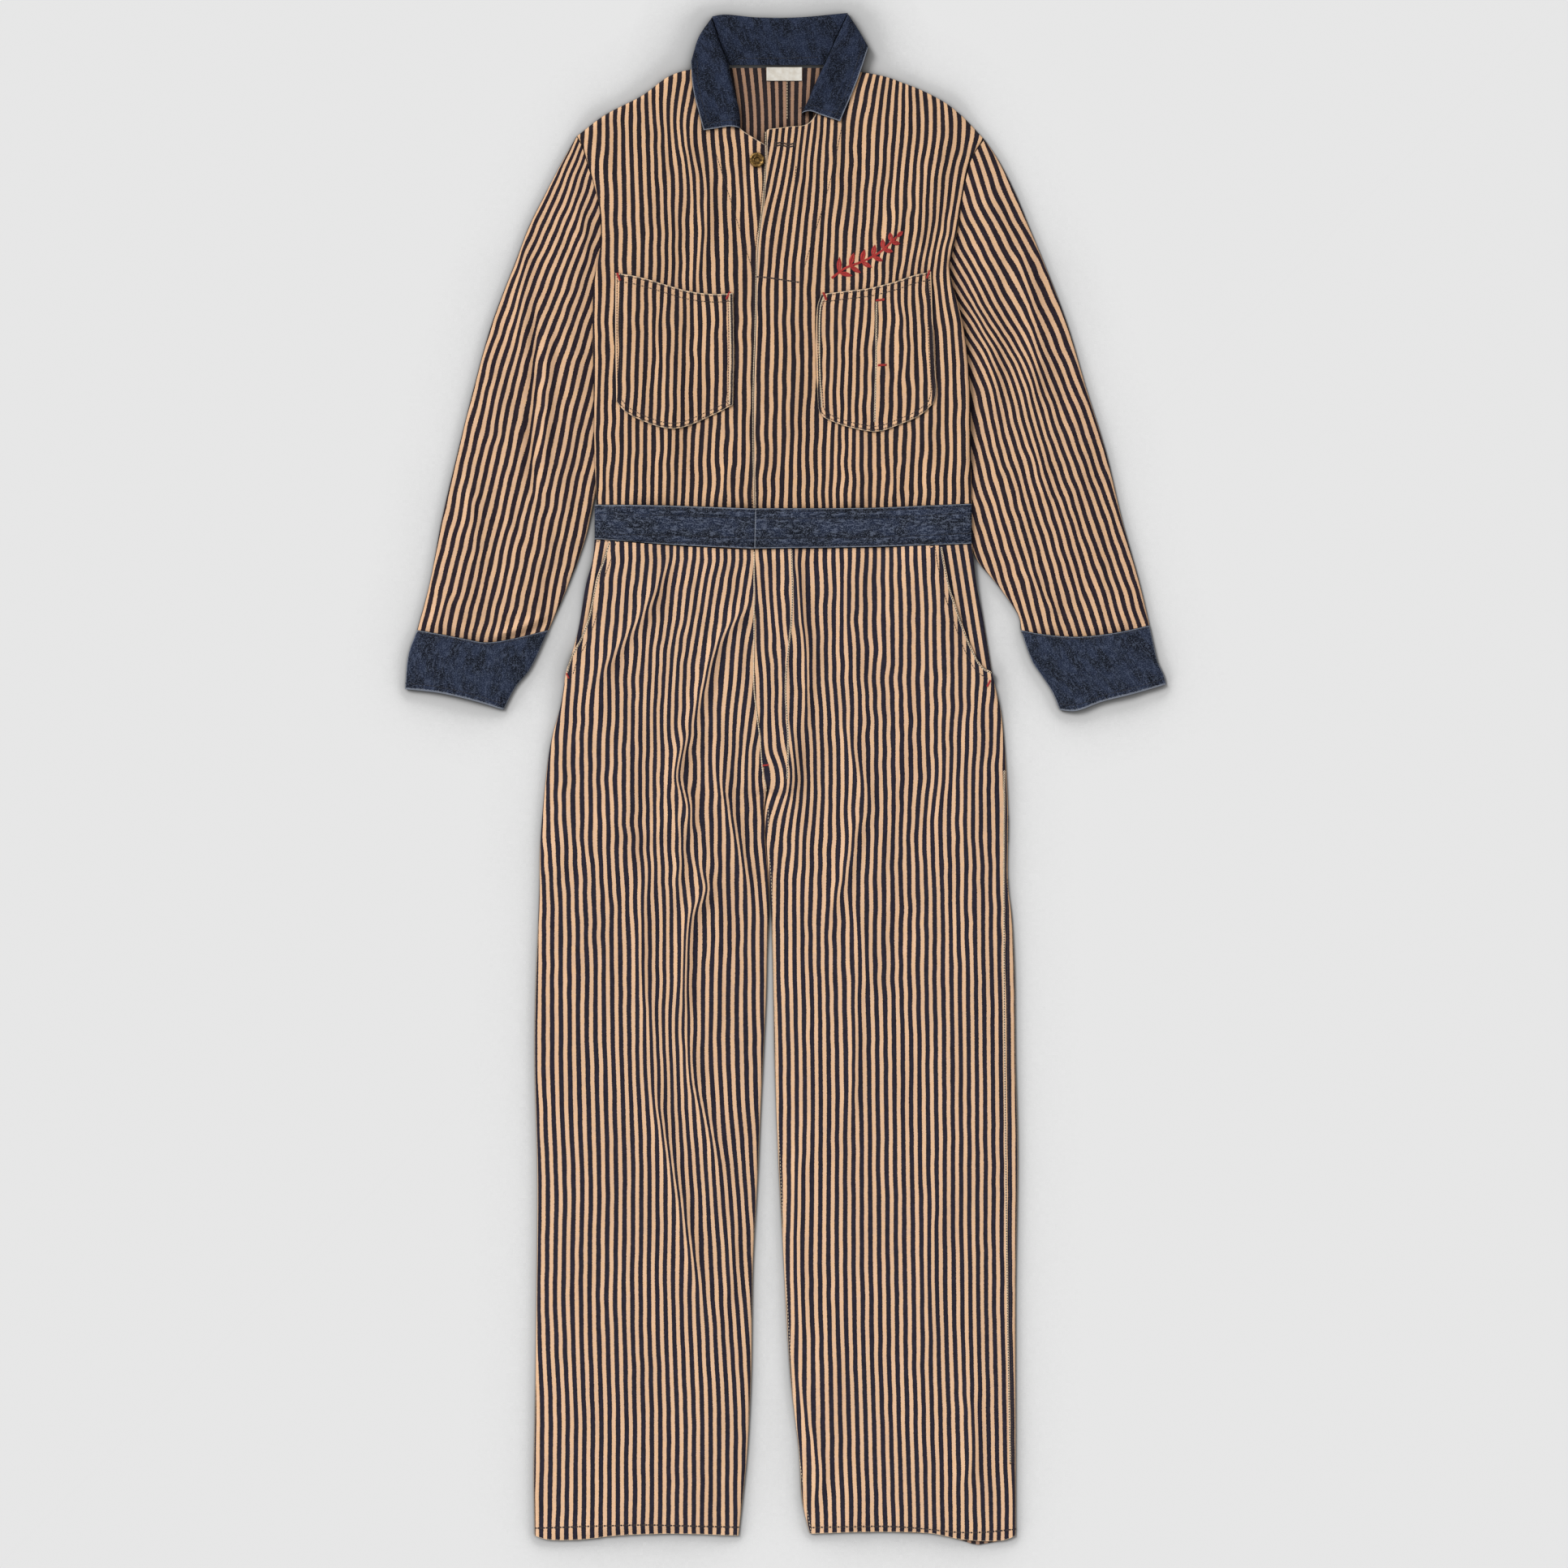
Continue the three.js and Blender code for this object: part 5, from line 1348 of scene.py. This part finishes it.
def cuffs():
    right = Cut(
        bottom=[("cuff_open_right", 7)], top=[("cuff_seam_right", 7)],
        left=[("cuff_outer_right", 4)], right=[("cuff_inner_right", 4)],
        size=(120, 70), cell=2.8,
    )
    left = Cut(
        bottom=[("cuff_open_left", 7)], top=[("cuff_seam_left", 7)],
        left=[("cuff_inner_left", 4)], right=[("cuff_outer_left", 4)],
        size=(120, 70), cell=2.8,
    )
    made = []
    for name, cut in (("cuff_right", right), ("cuff_left", left)):
        inside = cut.nearest("left", "right")
        soft = 0.8 * wander(cut.x, cut.y, 22, 16, 41) + 0.3 * wander(cut.x, cut.y, 8, 7, 43)
        hem = np.exp(-(((cut.distance("bottom") - 7) / 1.6) ** 2)) * 0.5
        full = 2 * BAND + SEAM + 0.55 * PUFF * ease(inside / 30 + 0.1) + soft * ease(inside / 8) - hem
        full -= 0.8 * (1 - ease(cut.distance("top") / 4))
        share = rolled(inside, 4.0)
        middle = BAND + SEAM / 2
        over, under = middle + (full - middle) * share, middle * (1 - share)
        worn = np.minimum(cut.distance("bottom") * 0.6, cut.nearest("left", "right", "top") + 0.3)
        piece = cloth_tube(
            name + "_cloth", cut, under, over, BAND * 0.9, [CUFF_DENIM] * 3, plain_cloth(cut), worn,
        )
        lay(name, cut, plies=2)
        made.append(piece)
    return made


# Chest pockets
def chest_pockets(fronts):
    made = []
    for side, shift, folds in (
        ("right", 3.4, [Fold(8, 1.0, 3, [(-128, 500), (-136, 460), (-128, 430)])]),
        ("left", -2.6, [Fold(8, 1.0, 3, [(120, 505), (128, 450), (116, 410)])]),
    ):
        outer, inner = LINES["pocket_side_" + side], LINES["pocket_inner_" + side]
        first, second = (outer, inner) if side == "right" else (inner, outer)
        cut = Cut(
            bottom=[("pocket_bottom_" + side, 6)], top=[("pocket_top_" + side, 6)],
            left=[(first, 6)], right=[(second, 6)], size=(122, 140), cell=3.0,
        )
        under = fronts.heights(cut) + CLEARANCE
        inside = cut.nearest("left", "right", "bottom")
        bulge = 0.8 * ease(cut.nearest("left", "right", "bottom", "top") / 25)
        pucker = 0.35 * wander(cut.x, cut.y, 5, 5, 51) * np.exp(-inside / 9)
        seam_row = -0.35 * np.exp(-(((inside - 5.2) / 1.2) ** 2))
        under = under + bulge + fold_relief(folds, cut.x, cut.y)[0] + np.maximum(pucker + seam_row, -0.2)
        guide = "front_bodice_" + side
        cloth = striped_cloth(guide, cut.x, cut.y, folds)
        cloth[..., 0] += shift
        name = "chest_pocket_" + side
        turned_ply = 0.9 * (1 - ease((cut.nearest("left", "right", "bottom", "top") - 5.6) / 2))
        over = under + CLOTH + turned_ply - 0.4 * (1 - ease(inside / 1.5))
        worn = np.minimum(cut.distance("top"), inside + 0.3)
        piece = cloth_wall(name + "_cloth", cut, under, over, BODICE_SIDES, cloth, worn)
        lay(name, cut)
        made.append(piece)
    return made


# Collar
def collar(fronts):
    """A stand that rolls over behind the neck into a fall under it, and a leaf on each front"""
    roll_height = 7.0
    band = Cut(
        bottom=[("collar_seam", 8)], top=[("collar_top", 8)],
        left=[("roll_back_right", 3)], right=[("roll_back_left", 3)],
        size=(115, 50), cell=2.6, drawn={"bottom": HALF_SEAM},
    )
    fall = Cut(
        bottom=[("fall_hem", 8)], top=[("collar_top", 8)],
        left=[("wrap_right", 3)], right=[("wrap_left", 3)],
        size=(170, 45), cell=4.0, drawn={"top": 1.2, "left": 1.2, "right": 1.2},
    )
    leaf_right = Cut(
        bottom=[("leaf_front_right", 4)], top=[("wrap_right", 4)],
        left=[("leaf_hem_right", 6)],
        right=[("roll_front_right", 4), ("roll_back_right", 2)],
        size=(38, 110), cell=2.6,
    )
    leaf_left = Cut(
        bottom=[("leaf_front_left", 4)], top=[(LINES["wrap_left"][::-1], 4)],
        left=[("roll_front_left", 4), ("roll_back_left", 2)],
        right=[("leaf_hem_left", 6)],
        size=(45, 110), cell=2.6,
    )

    def soft(cut):
        return 0.5 * wander(cut.x, cut.y, 20, 14, 61) + 0.2 * wander(cut.x, cut.y, 7, 6, 63)

    rise = (roll_height - 3.4) * ease(band.distance("bottom") / 46) * rolled(band.distance("top"), 6.0)
    stand_over = FRONT_BASE + CLOTH + 1.0 + rise + soft(band)
    stand_under = np.maximum(stand_over - CLOTH, 0.9) - 0.6 * (band.distance("top") < 4.5)
    parts = [(band, np.minimum(stand_under, stand_over - 0.5), stand_over, band.distance("top") + 1.0)]
    fall_under = np.zeros(fall.x.shape)
    parts.append((fall, fall_under, fall_under + CLOTH, far_edge(fall)))
    for leaf, roll, hem in ((leaf_right, "right", "left"), (leaf_left, "left", "right")):
        ground = fronts.heights(leaf, default=np.nan)
        beyond = FRONT_BASE + CLOTH + front_rise(leaf.x, np.minimum(leaf.y, 742))
        ground = np.where(np.isnan(ground) | (leaf.y > 742), beyond, ground)
        blend_up = ease((leaf.y - 715) / 30)
        ground = ground * (1 - blend_up) + np.maximum(beyond + 0.5, 3.4) * blend_up
        stand = 2.4 * ease((20 - leaf.distance(roll)) / 18)
        over = ground + CLEARANCE + CLOTH + 0.9 + stand + soft(leaf) * 0.8
        over -= 0.5 * np.exp(-(((leaf.nearest(hem, "bottom") - 6.5) / 1.5) ** 2))
        base = np.minimum(ground - 1.6, 2.6)
        down = rolled(leaf.distance(roll), 4.5)
        over = base + (over - base) * down
        top_roll = rolled(leaf.distance("top"), 5.0)
        over = 0.6 + CLOTH + (over - 0.6 - CLOTH) * top_roll
        under = np.maximum(over - CLOTH, np.where(leaf.distance("top") < 4, 0.1, ground + 0.1))
        under = np.minimum(under, over - 0.35)
        under = np.maximum(under, 0.05)
        parts.append((leaf, under, np.maximum(over, under + 0.3), leaf.nearest(hem, "bottom")))
    points, faces, sides, cloths, edges, count = [], [], [], [], [], 0
    for cut, under, over, worn in parts:
        one_points, one_faces, one_side = wall(cut.plan, under, over)
        points.append(one_points)
        faces.append(one_faces + count)
        sides.append(one_side)
        cloths.append(np.vstack([plain_cloth(cut).reshape(-1, 2)] * 2))
        edges.append(np.concatenate([worn.ravel()] * 2))
        count += len(one_points)
    piece = make_piece(
        "collar_cloth", np.vstack(points), np.vstack(faces), np.concatenate(sides), [DENIM] * 3,
        np.vstack(cloths), np.concatenate(edges),
    )
    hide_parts("collar")
    shown = sum(cut.area() for cut, *_ in parts) * MM * MM
    return piece


# Label, button and threads
def neck_label():
    cut = Cut(
        bottom=[([(-20, 731), (17, 731)], 1)], top=[([(-20, 745), (17, 745)], 1)],
        left=[([(-20, 731), (-20, 745)], 1)], right=[([(17, 731), (17, 745)], 1)],
        size=(37, 14), cell=1.5, drawn=0.0,
    )
    curl = 0.5 * (1 - ease(cut.nearest("left", "right") / 5)) + 0.25 * wander(cut.x, cut.y, 8, 8, 71)
    under = CLOTH + SEAM + 0.15 + np.maximum(curl, 0)
    cloth = plain_cloth(cut)
    piece = cloth_wall("neck_label_tape", cut, under, under + 0.7, [TAPE] * 3, cloth, far_edge(cut))
    lay("neck_label", cut)
    return piece


def ring_button(fronts):
    """A ring button with a raised rim, a dished ring and a pierced middle"""
    profile = [
        (0.0, 0.3), (7.0, 0.3), (7.7, 1.0), (7.75, 1.9), (7.3, 2.6), (6.6, 2.95), (5.8, 2.85), (5.2, 2.2),
        (4.8, 1.7), (4.3, 1.65), (3.9, 2.1), (3.5, 2.25), (3.1, 1.9), (2.9, 0.5), (0.0, 0.4),
    ]
    turns = 48
    x, y = -30.0, 647.0
    hit, normal = fronts.under(x, y)
    angles = np.arange(turns) / turns * math.tau
    points = []
    for radius, height in profile[1:-1]:
        points += [(x + radius * math.cos(a), y + radius * math.sin(a), hit[2] + height) for a in angles]
    points += [(x, y, hit[2] + profile[0][1]), (x, y, hit[2] + profile[-1][1])]
    rows = len(profile) - 2
    faces = []
    for row in range(rows - 1):
        for k in range(turns):
            a, b = row * turns + k, row * turns + (k + 1) % turns
            faces.append((a, b, b + turns, a + turns))
    bottom, top = rows * turns, rows * turns + 1
    for k in range(turns):
        following = (k + 1) % turns
        faces.append((bottom, following, k, k))
        faces.append((top, (rows - 1) * turns + k, (rows - 1) * turns + following, top))
    faces = [tuple(dict.fromkeys(face)) for face in faces]
    points = np.array(points)
    piece = make_piece("ring_button", points, faces, np.zeros(len(faces)), [BRASS], points[:, :2], sharp=0.9)
    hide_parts("button")
    return piece


class Sewing:
    """Collects stitches of one thread, each a slim pointed loaf that lies on the cloth"""

    SECTIONS = ((-0.5, 0.25), (-0.3, 1.0), (0.3, 1.0), (0.5, 0.25))

    def __init__(self, name, material, slot):
        self.name, self.material, self.slot = name, material, slot
        self.stitches = []

    def stitch(self, start, end, width, raised, surface):
        middle = (np.array(start, float) + np.array(end, float)) / 2
        found = surface.under(*middle)
        if found is None:
            return
        place, normal = found
        direction = np.array([end[0] - start[0], end[1] - start[1], 0.0])
        length = np.linalg.norm(direction)
        direction -= normal * (direction @ normal)
        norm = np.linalg.norm(direction)
        if length < 1e-6 or norm < 1e-6:
            return
        direction /= norm
        self.stitches.append((place, direction, normal, length, width, raised))

    def row(self, line, surface, pitch=2.9, length=2.5, width=1.1, shift=0.0, raised=0.45):
        """A row of stitches along a line, moved sideways by a shift"""
        curve = beside(curve_through(line, 12)[0], shift)
        run = length_run(curve)
        for place in np.arange(pitch / 2, run[-1] - length / 2, pitch):
            start, end = (place_on(curve, run, place + way * length / 2) for way in (-1, 1))
            self.stitch(start, end, width, raised, surface)

    def satin_leaf(self, root, angle, length, width, surface):
        """A leaf filled with close stitches that slant from its middle vein"""
        ahead = np.array([math.cos(angle), math.sin(angle)])
        aside = np.array([-ahead[1], ahead[0]])
        for step in np.arange(0.4, length, 0.85):
            half = width / 2 * math.sin(math.pi * min(1, step / length) ** 0.8)
            vein = root + ahead * step
            for side in (-1, 1):
                self.stitch(vein, vein + ahead * half * 0.5 + aside * side * half, 1.05, 0.8, surface)

    def bartack(self, place, direction, surface, length=9.0, width=2.6):
        """A short dense bar of stitches that holds a corner"""
        direction = np.array(direction, float) / np.linalg.norm(direction)
        across = np.array([-direction[1], direction[0]])
        steps = 14
        for k in range(steps):
            share = (k + 0.5) / steps - 0.5
            centre = np.array(place) + direction * length * share
            lean = direction * length / steps * 0.5
            first, second = centre - across * width / 2 - lean, centre + across * width / 2 + lean
            self.stitch(first, second, 0.7, 0.7, surface)

    def chain(self, line, surface, link=3.0, width=1.9):
        """A row of chain stitches, two leaning stitches to each link"""
        curve, run = curve_through(line, 10)
        for place in np.arange(0, run[-1] - link * 0.6, link * 0.62):
            start, end = place_on(curve, run, place), place_on(curve, run, min(place + link, run[-1]))
            direction = end - start
            norm = np.linalg.norm(direction)
            if norm < 0.3:
                continue
            across = np.array([-direction[1], direction[0]]) / norm
            for lean in (-1, 1):
                narrow, wide = across * lean * 0.15, across * lean * width * 0.42
                self.stitch(start + narrow, end + wide, 0.95, 0.75, surface)
                self.stitch(start + wide, end + narrow, 0.95, 0.7, surface)

    def make(self):
        """One joined mesh of all the stitches of this thread"""
        place, direction, normal = (np.array([s[k] for s in self.stitches]) for k in range(3))
        length, width, raised = (np.array([s[k] for s in self.stitches])[:, None] for k in range(3, 6))
        across = np.cross(normal, direction)
        around = [(1.0, 0.0), (0.45, 1.0), (-0.45, 1.0), (-1.0, 0.0)]
        points = []
        for share, swell in self.SECTIONS:
            for side, up in around:
                aside = across * width / 2 * side * swell
                lifted = normal * (raised * (up * swell) - 0.12)
                points.append(place + direction * length * share + aside + lifted)
        points = np.stack(points, axis=1)
        per = points.shape[1]
        quads = []
        for section in range(len(self.SECTIONS) - 1):
            for k in range(4):
                a, b = section * 4 + k, section * 4 + (k + 1) % 4
                quads.append((a, a + 4, b + 4, b))
        quads.append((0, 1, 2, 3))
        last = 4 * (len(self.SECTIONS) - 1)
        quads.append((last + 3, last + 2, last + 1, last))
        faces = (np.array(quads)[None] + per * np.arange(len(points))[:, None, None]).reshape(-1, 4)
        flat = points.reshape(-1, 3)
        lengthwise = np.tile(np.repeat([s for s, _ in self.SECTIONS], 4), len(self.stitches)) * 3.0
        sideways = np.repeat(np.arange(len(self.stitches)) * 7.0, per)
        cloth = np.stack([sideways, lengthwise], axis=1)
        piece = make_piece(self.name, flat, faces, np.zeros(len(faces)), [self.material], cloth, sharp=1.2)
        return piece


def offset_line(line, shift):
    return beside(curve_through(line, 4)[0], shift)


def sprig(red, surface):
    """A sprig in chain stitch with leaves in satin stitch, on the wearer's left chest"""
    stem = [(48, 524), (62, 534), (80, 541), (98, 550), (116, 566)]
    red.chain(stem, surface, width=2.4)
    curve, run = curve_through(stem, 10)
    for k, share in enumerate((0.12, 0.28, 0.44, 0.6, 0.76, 0.9)):
        root, ahead = (place_on(curve, run, share * run[-1] + step) for step in (0, 2))
        heading = math.atan2(ahead[1] - root[1], ahead[0] - root[0])
        length = 16 - 1.1 * k
        red.satin_leaf(root, heading + 0.9, length, 5.4, surface)
        red.satin_leaf(root, heading - 0.9, length * 0.92, 5.0, surface)
    red.satin_leaf(stem[-1], 0.75, 9, 4.6, surface)


def felled(cream, dark, line, surface, shift=0.0):
    """A felled seam: a pale ridge of cream thread whose colour paints the highlight along the seam's fold,
    with short dark stitches along it
    """
    cream.row(line, surface, pitch=2.7, length=2.9, width=2.2, shift=shift)
    dark.row(line, surface, pitch=2.7, length=1.7, width=1.4, shift=shift, raised=0.85)


def sew(surface):
    """All the visible threads"""
    dark = Sewing("dark_stitches", DARK_THREAD, "striped_twill")
    cream = Sewing("cream_stitches", CREAM_THREAD, "striped_twill")
    red = Sewing("red_stitches", RED_THREAD, "striped_twill")
    blue = Sewing("blue_stitches", BLUE_THREAD, "dark_denim")

    # Chest pockets: two rows inside each edge, a pen slot on the wearer's left, and corner tacks
    for side, inward in (("right", 1), ("left", -1)):
        outer, inner = LINES["pocket_side_" + side], LINES["pocket_inner_" + side]
        bottom, top = LINES["pocket_bottom_" + side], LINES["pocket_top_" + side]
        dark.row(top, surface, shift=2.2, width=1.0)
        dark.row(top, surface, shift=8.4, width=1.0)
        dark.row(bottom, surface, shift=-1.9, width=1.0)
        dark.row(bottom, surface, shift=-5.6, width=1.0)
        for line, turn in ((outer, inward), (inner, -inward)):
            dark.row(line, surface, shift=1.9 * turn, width=1.0)
            dark.row(line, surface, shift=5.4 * turn, width=1.0)
        cream.row(inner, surface, shift=-3.6 * inward, pitch=2.7, length=2.9, width=1.6)
    felled(cream, dark, [(95, 500), (94.5, 440), (93, 372)], surface)
    tacks = [
        ((-174.5, 525), (0.4, -1)), ((-60, 505.5), (0.5, 1)), ((41, 505), (-0.4, 1)),
        ((149, 527), (0.4, 1)), ((98.6, 500.5), (1, 0.1)), ((101, 432.5), (1, 0.05)),
    ]
    for place, direction in tacks:
        red.bartack(place, direction, surface)

    # Placket, fly and crotch
    dark.row([(-30.6, 525), (-18, 524), (-4, 522), (15, 519)], surface, pitch=2.5, length=2.6, width=1.9)
    dark.row([(60, 688), (46, 623), (23, 547), (16, 523)], surface, width=0.8)
    dark.row([(-74, 658), (-33, 527)], surface, width=0.8)
    dark.row([(11, 641), (6, 570)], surface)
    cream.row(offset_line(LINES["placket_edge"], -0.9)[::4], surface, pitch=2.6, length=2.7, width=1.2)
    # A dark stitch row that also paints the shadow line beside the placket's edge
    dark.row(offset_line(LINES["placket_edge"], -2.6)[::4], surface, pitch=2.7, width=0.9)
    felled(cream, dark, [(6, 240), (7, 181), (0, 99), (2.5, 44), (1.7, -1)], surface)
    cream.row(offset_line(LINES["fly_edge"], -0.9)[::4], surface, pitch=2.6, length=2.7, width=1.6)
    red.bartack((-21, 14.5), (1, 0.1), surface, length=6.5, width=2.0)
    dark.bartack((0, -0.8), (0.1, 1), surface, length=6, width=1.8)

    # Hip pockets: two rows beside each mouth
    for side, turn in (("right", 1), ("left", -1)):
        felled(cream, dark, LINES["mouth_" + side], surface, shift=1.5 * turn)
        dark.row(LINES["mouth_" + side], surface, shift=8.0 * turn, width=0.9)
    red.bartack((212.5, 100), (0.5, 1), surface, length=7.5, width=2.2)
    red.bartack((-228, 108), (-0.5, 1), surface, length=6, width=1.6)

    # Leg side seam of the wearer's left, inseams and hems
    felled(cream, dark, [(229, 9), (228.5, -130), (229, -272), (233, -612), (235, -717)], surface)
    dark.row([(233, 0), (232.4, -130), (232.6, -272), (236.4, -612), (238, -717)], surface, width=1.2)
    cream.row(offset_line(LINES["inseam_left"], 2.0)[::6], surface, width=0.7, pitch=3.6)
    dark.row([(-263, -784), (-195, -781), (-142, -780), (-48, -783)], surface, width=1.9)
    dark.row([(22, -783.5), (65, -782), (117, -782), (190, -788), (242, -785)], surface, width=1.9)

    # Denim pieces
    for row in BAND_ROWS:
        for top in (LINES["waist_right"], LINES["waist_left"]):
            blue.row([(x, y - row) for x, y in top], surface, width=1.0, pitch=3.4)
    for side in ("right", "left"):
        blue.row([(x, y + 6.5) for x, y in LINES["cuff_open_" + side]], surface, width=1.0)
        blue.row([(x, y - 2.2) for x, y in LINES["cuff_seam_" + side]], surface, width=1.0)
    for edge, shift in (("hem_right", 6.5), ("hem_left", -6.5), ("front_right", -6.5), ("front_left", -6.5)):
        blue.row(offset_line(LINES["leaf_" + edge], shift)[::4], surface, width=0.8)
    blue.row([(-50, 754), (-10, 754), (34, 755)], surface, width=0.9)
    cream.row([(1.6, 742), (1.6, 690)], surface, width=0.8, pitch=3.0)
    dark.row([(4.4, 742), (4.4, 690)], surface, width=0.9, pitch=3.0)

    # Buttonhole: short stitches across a slit, and a bar at each end
    for k in range(24):
        x = -9 + k * 0.78
        for side in (-1, 1):
            y = 663 + side * 1.3 + 0.9 * math.sin(k / 3.4)
            dark.stitch((x, y - 0.9), (x + 0.2, y + 0.9), 0.85, 0.6, surface)
    for x in (-10.4, 9.8):
        dark.bartack((x, 663), (0, 1), surface, length=5.4, width=2.0)

    sprig(red, surface)
    return [sewing.make() for sewing in (dark, cream, red, blue)]


# The coverall
backs = bodice_backs() + leg_backs()
tubes = sleeves() + cuffs()
fronts = bodice_fronts()
legs = hip_facings() + leg_fronts()
bands = waistband()
chest = Surface(fronts)
pockets = chest_pockets(chest)
collar_piece = collar(chest)
label = neck_label()
button = ring_button(chest)
sew(Surface(backs + tubes + fronts + legs + bands + pockets + [collar_piece]))


# Floor, light and camera
def studio():
    corners = [(-6, -6, 0), (6, -6, 0), (6, 6, 0), (-6, 6, 0)]
    mesh = bpy.data.meshes.new("floor")
    mesh.from_pydata(corners, [], [(0, 1, 2, 3)])
    mesh.materials.append(pale_floor_painted_shadow())
    mesh.uv_layers.new(name="cloth")
    floor = bpy.data.objects.new("floor", mesh)
    floor.location.z = -0.0006
    bpy.context.scene.collection.objects.link(floor)

    world = bpy.data.worlds.new("studio")
    world.use_nodes = True
    world.node_tree.nodes["Background"].inputs["Color"].default_value = (1.0, 1.0, 1.0, 1.0)
    world.node_tree.nodes["Background"].inputs["Strength"].default_value = 0.55
    bpy.context.scene.world = world

    lamp = bpy.data.lights.new("window", "SUN")
    lamp.energy = 2.35
    lamp.angle = math.radians(26)
    key = bpy.data.objects.new("window", lamp)
    key.rotation_euler = Vector((-0.75, 0.55, 0.8)).to_track_quat("Z", "Y").to_euler()
    bpy.context.scene.collection.objects.link(key)

    lens = bpy.data.cameras.new("view")
    lens.lens = 85
    lens.sensor_width = 36
    camera = bpy.data.objects.new("view", lens)
    camera.location = (-0.0017, -0.0051, 3.877)
    bpy.context.scene.collection.objects.link(camera)
    bpy.context.scene.camera = camera
    bpy.context.scene.view_settings.view_transform = "Standard"


studio()
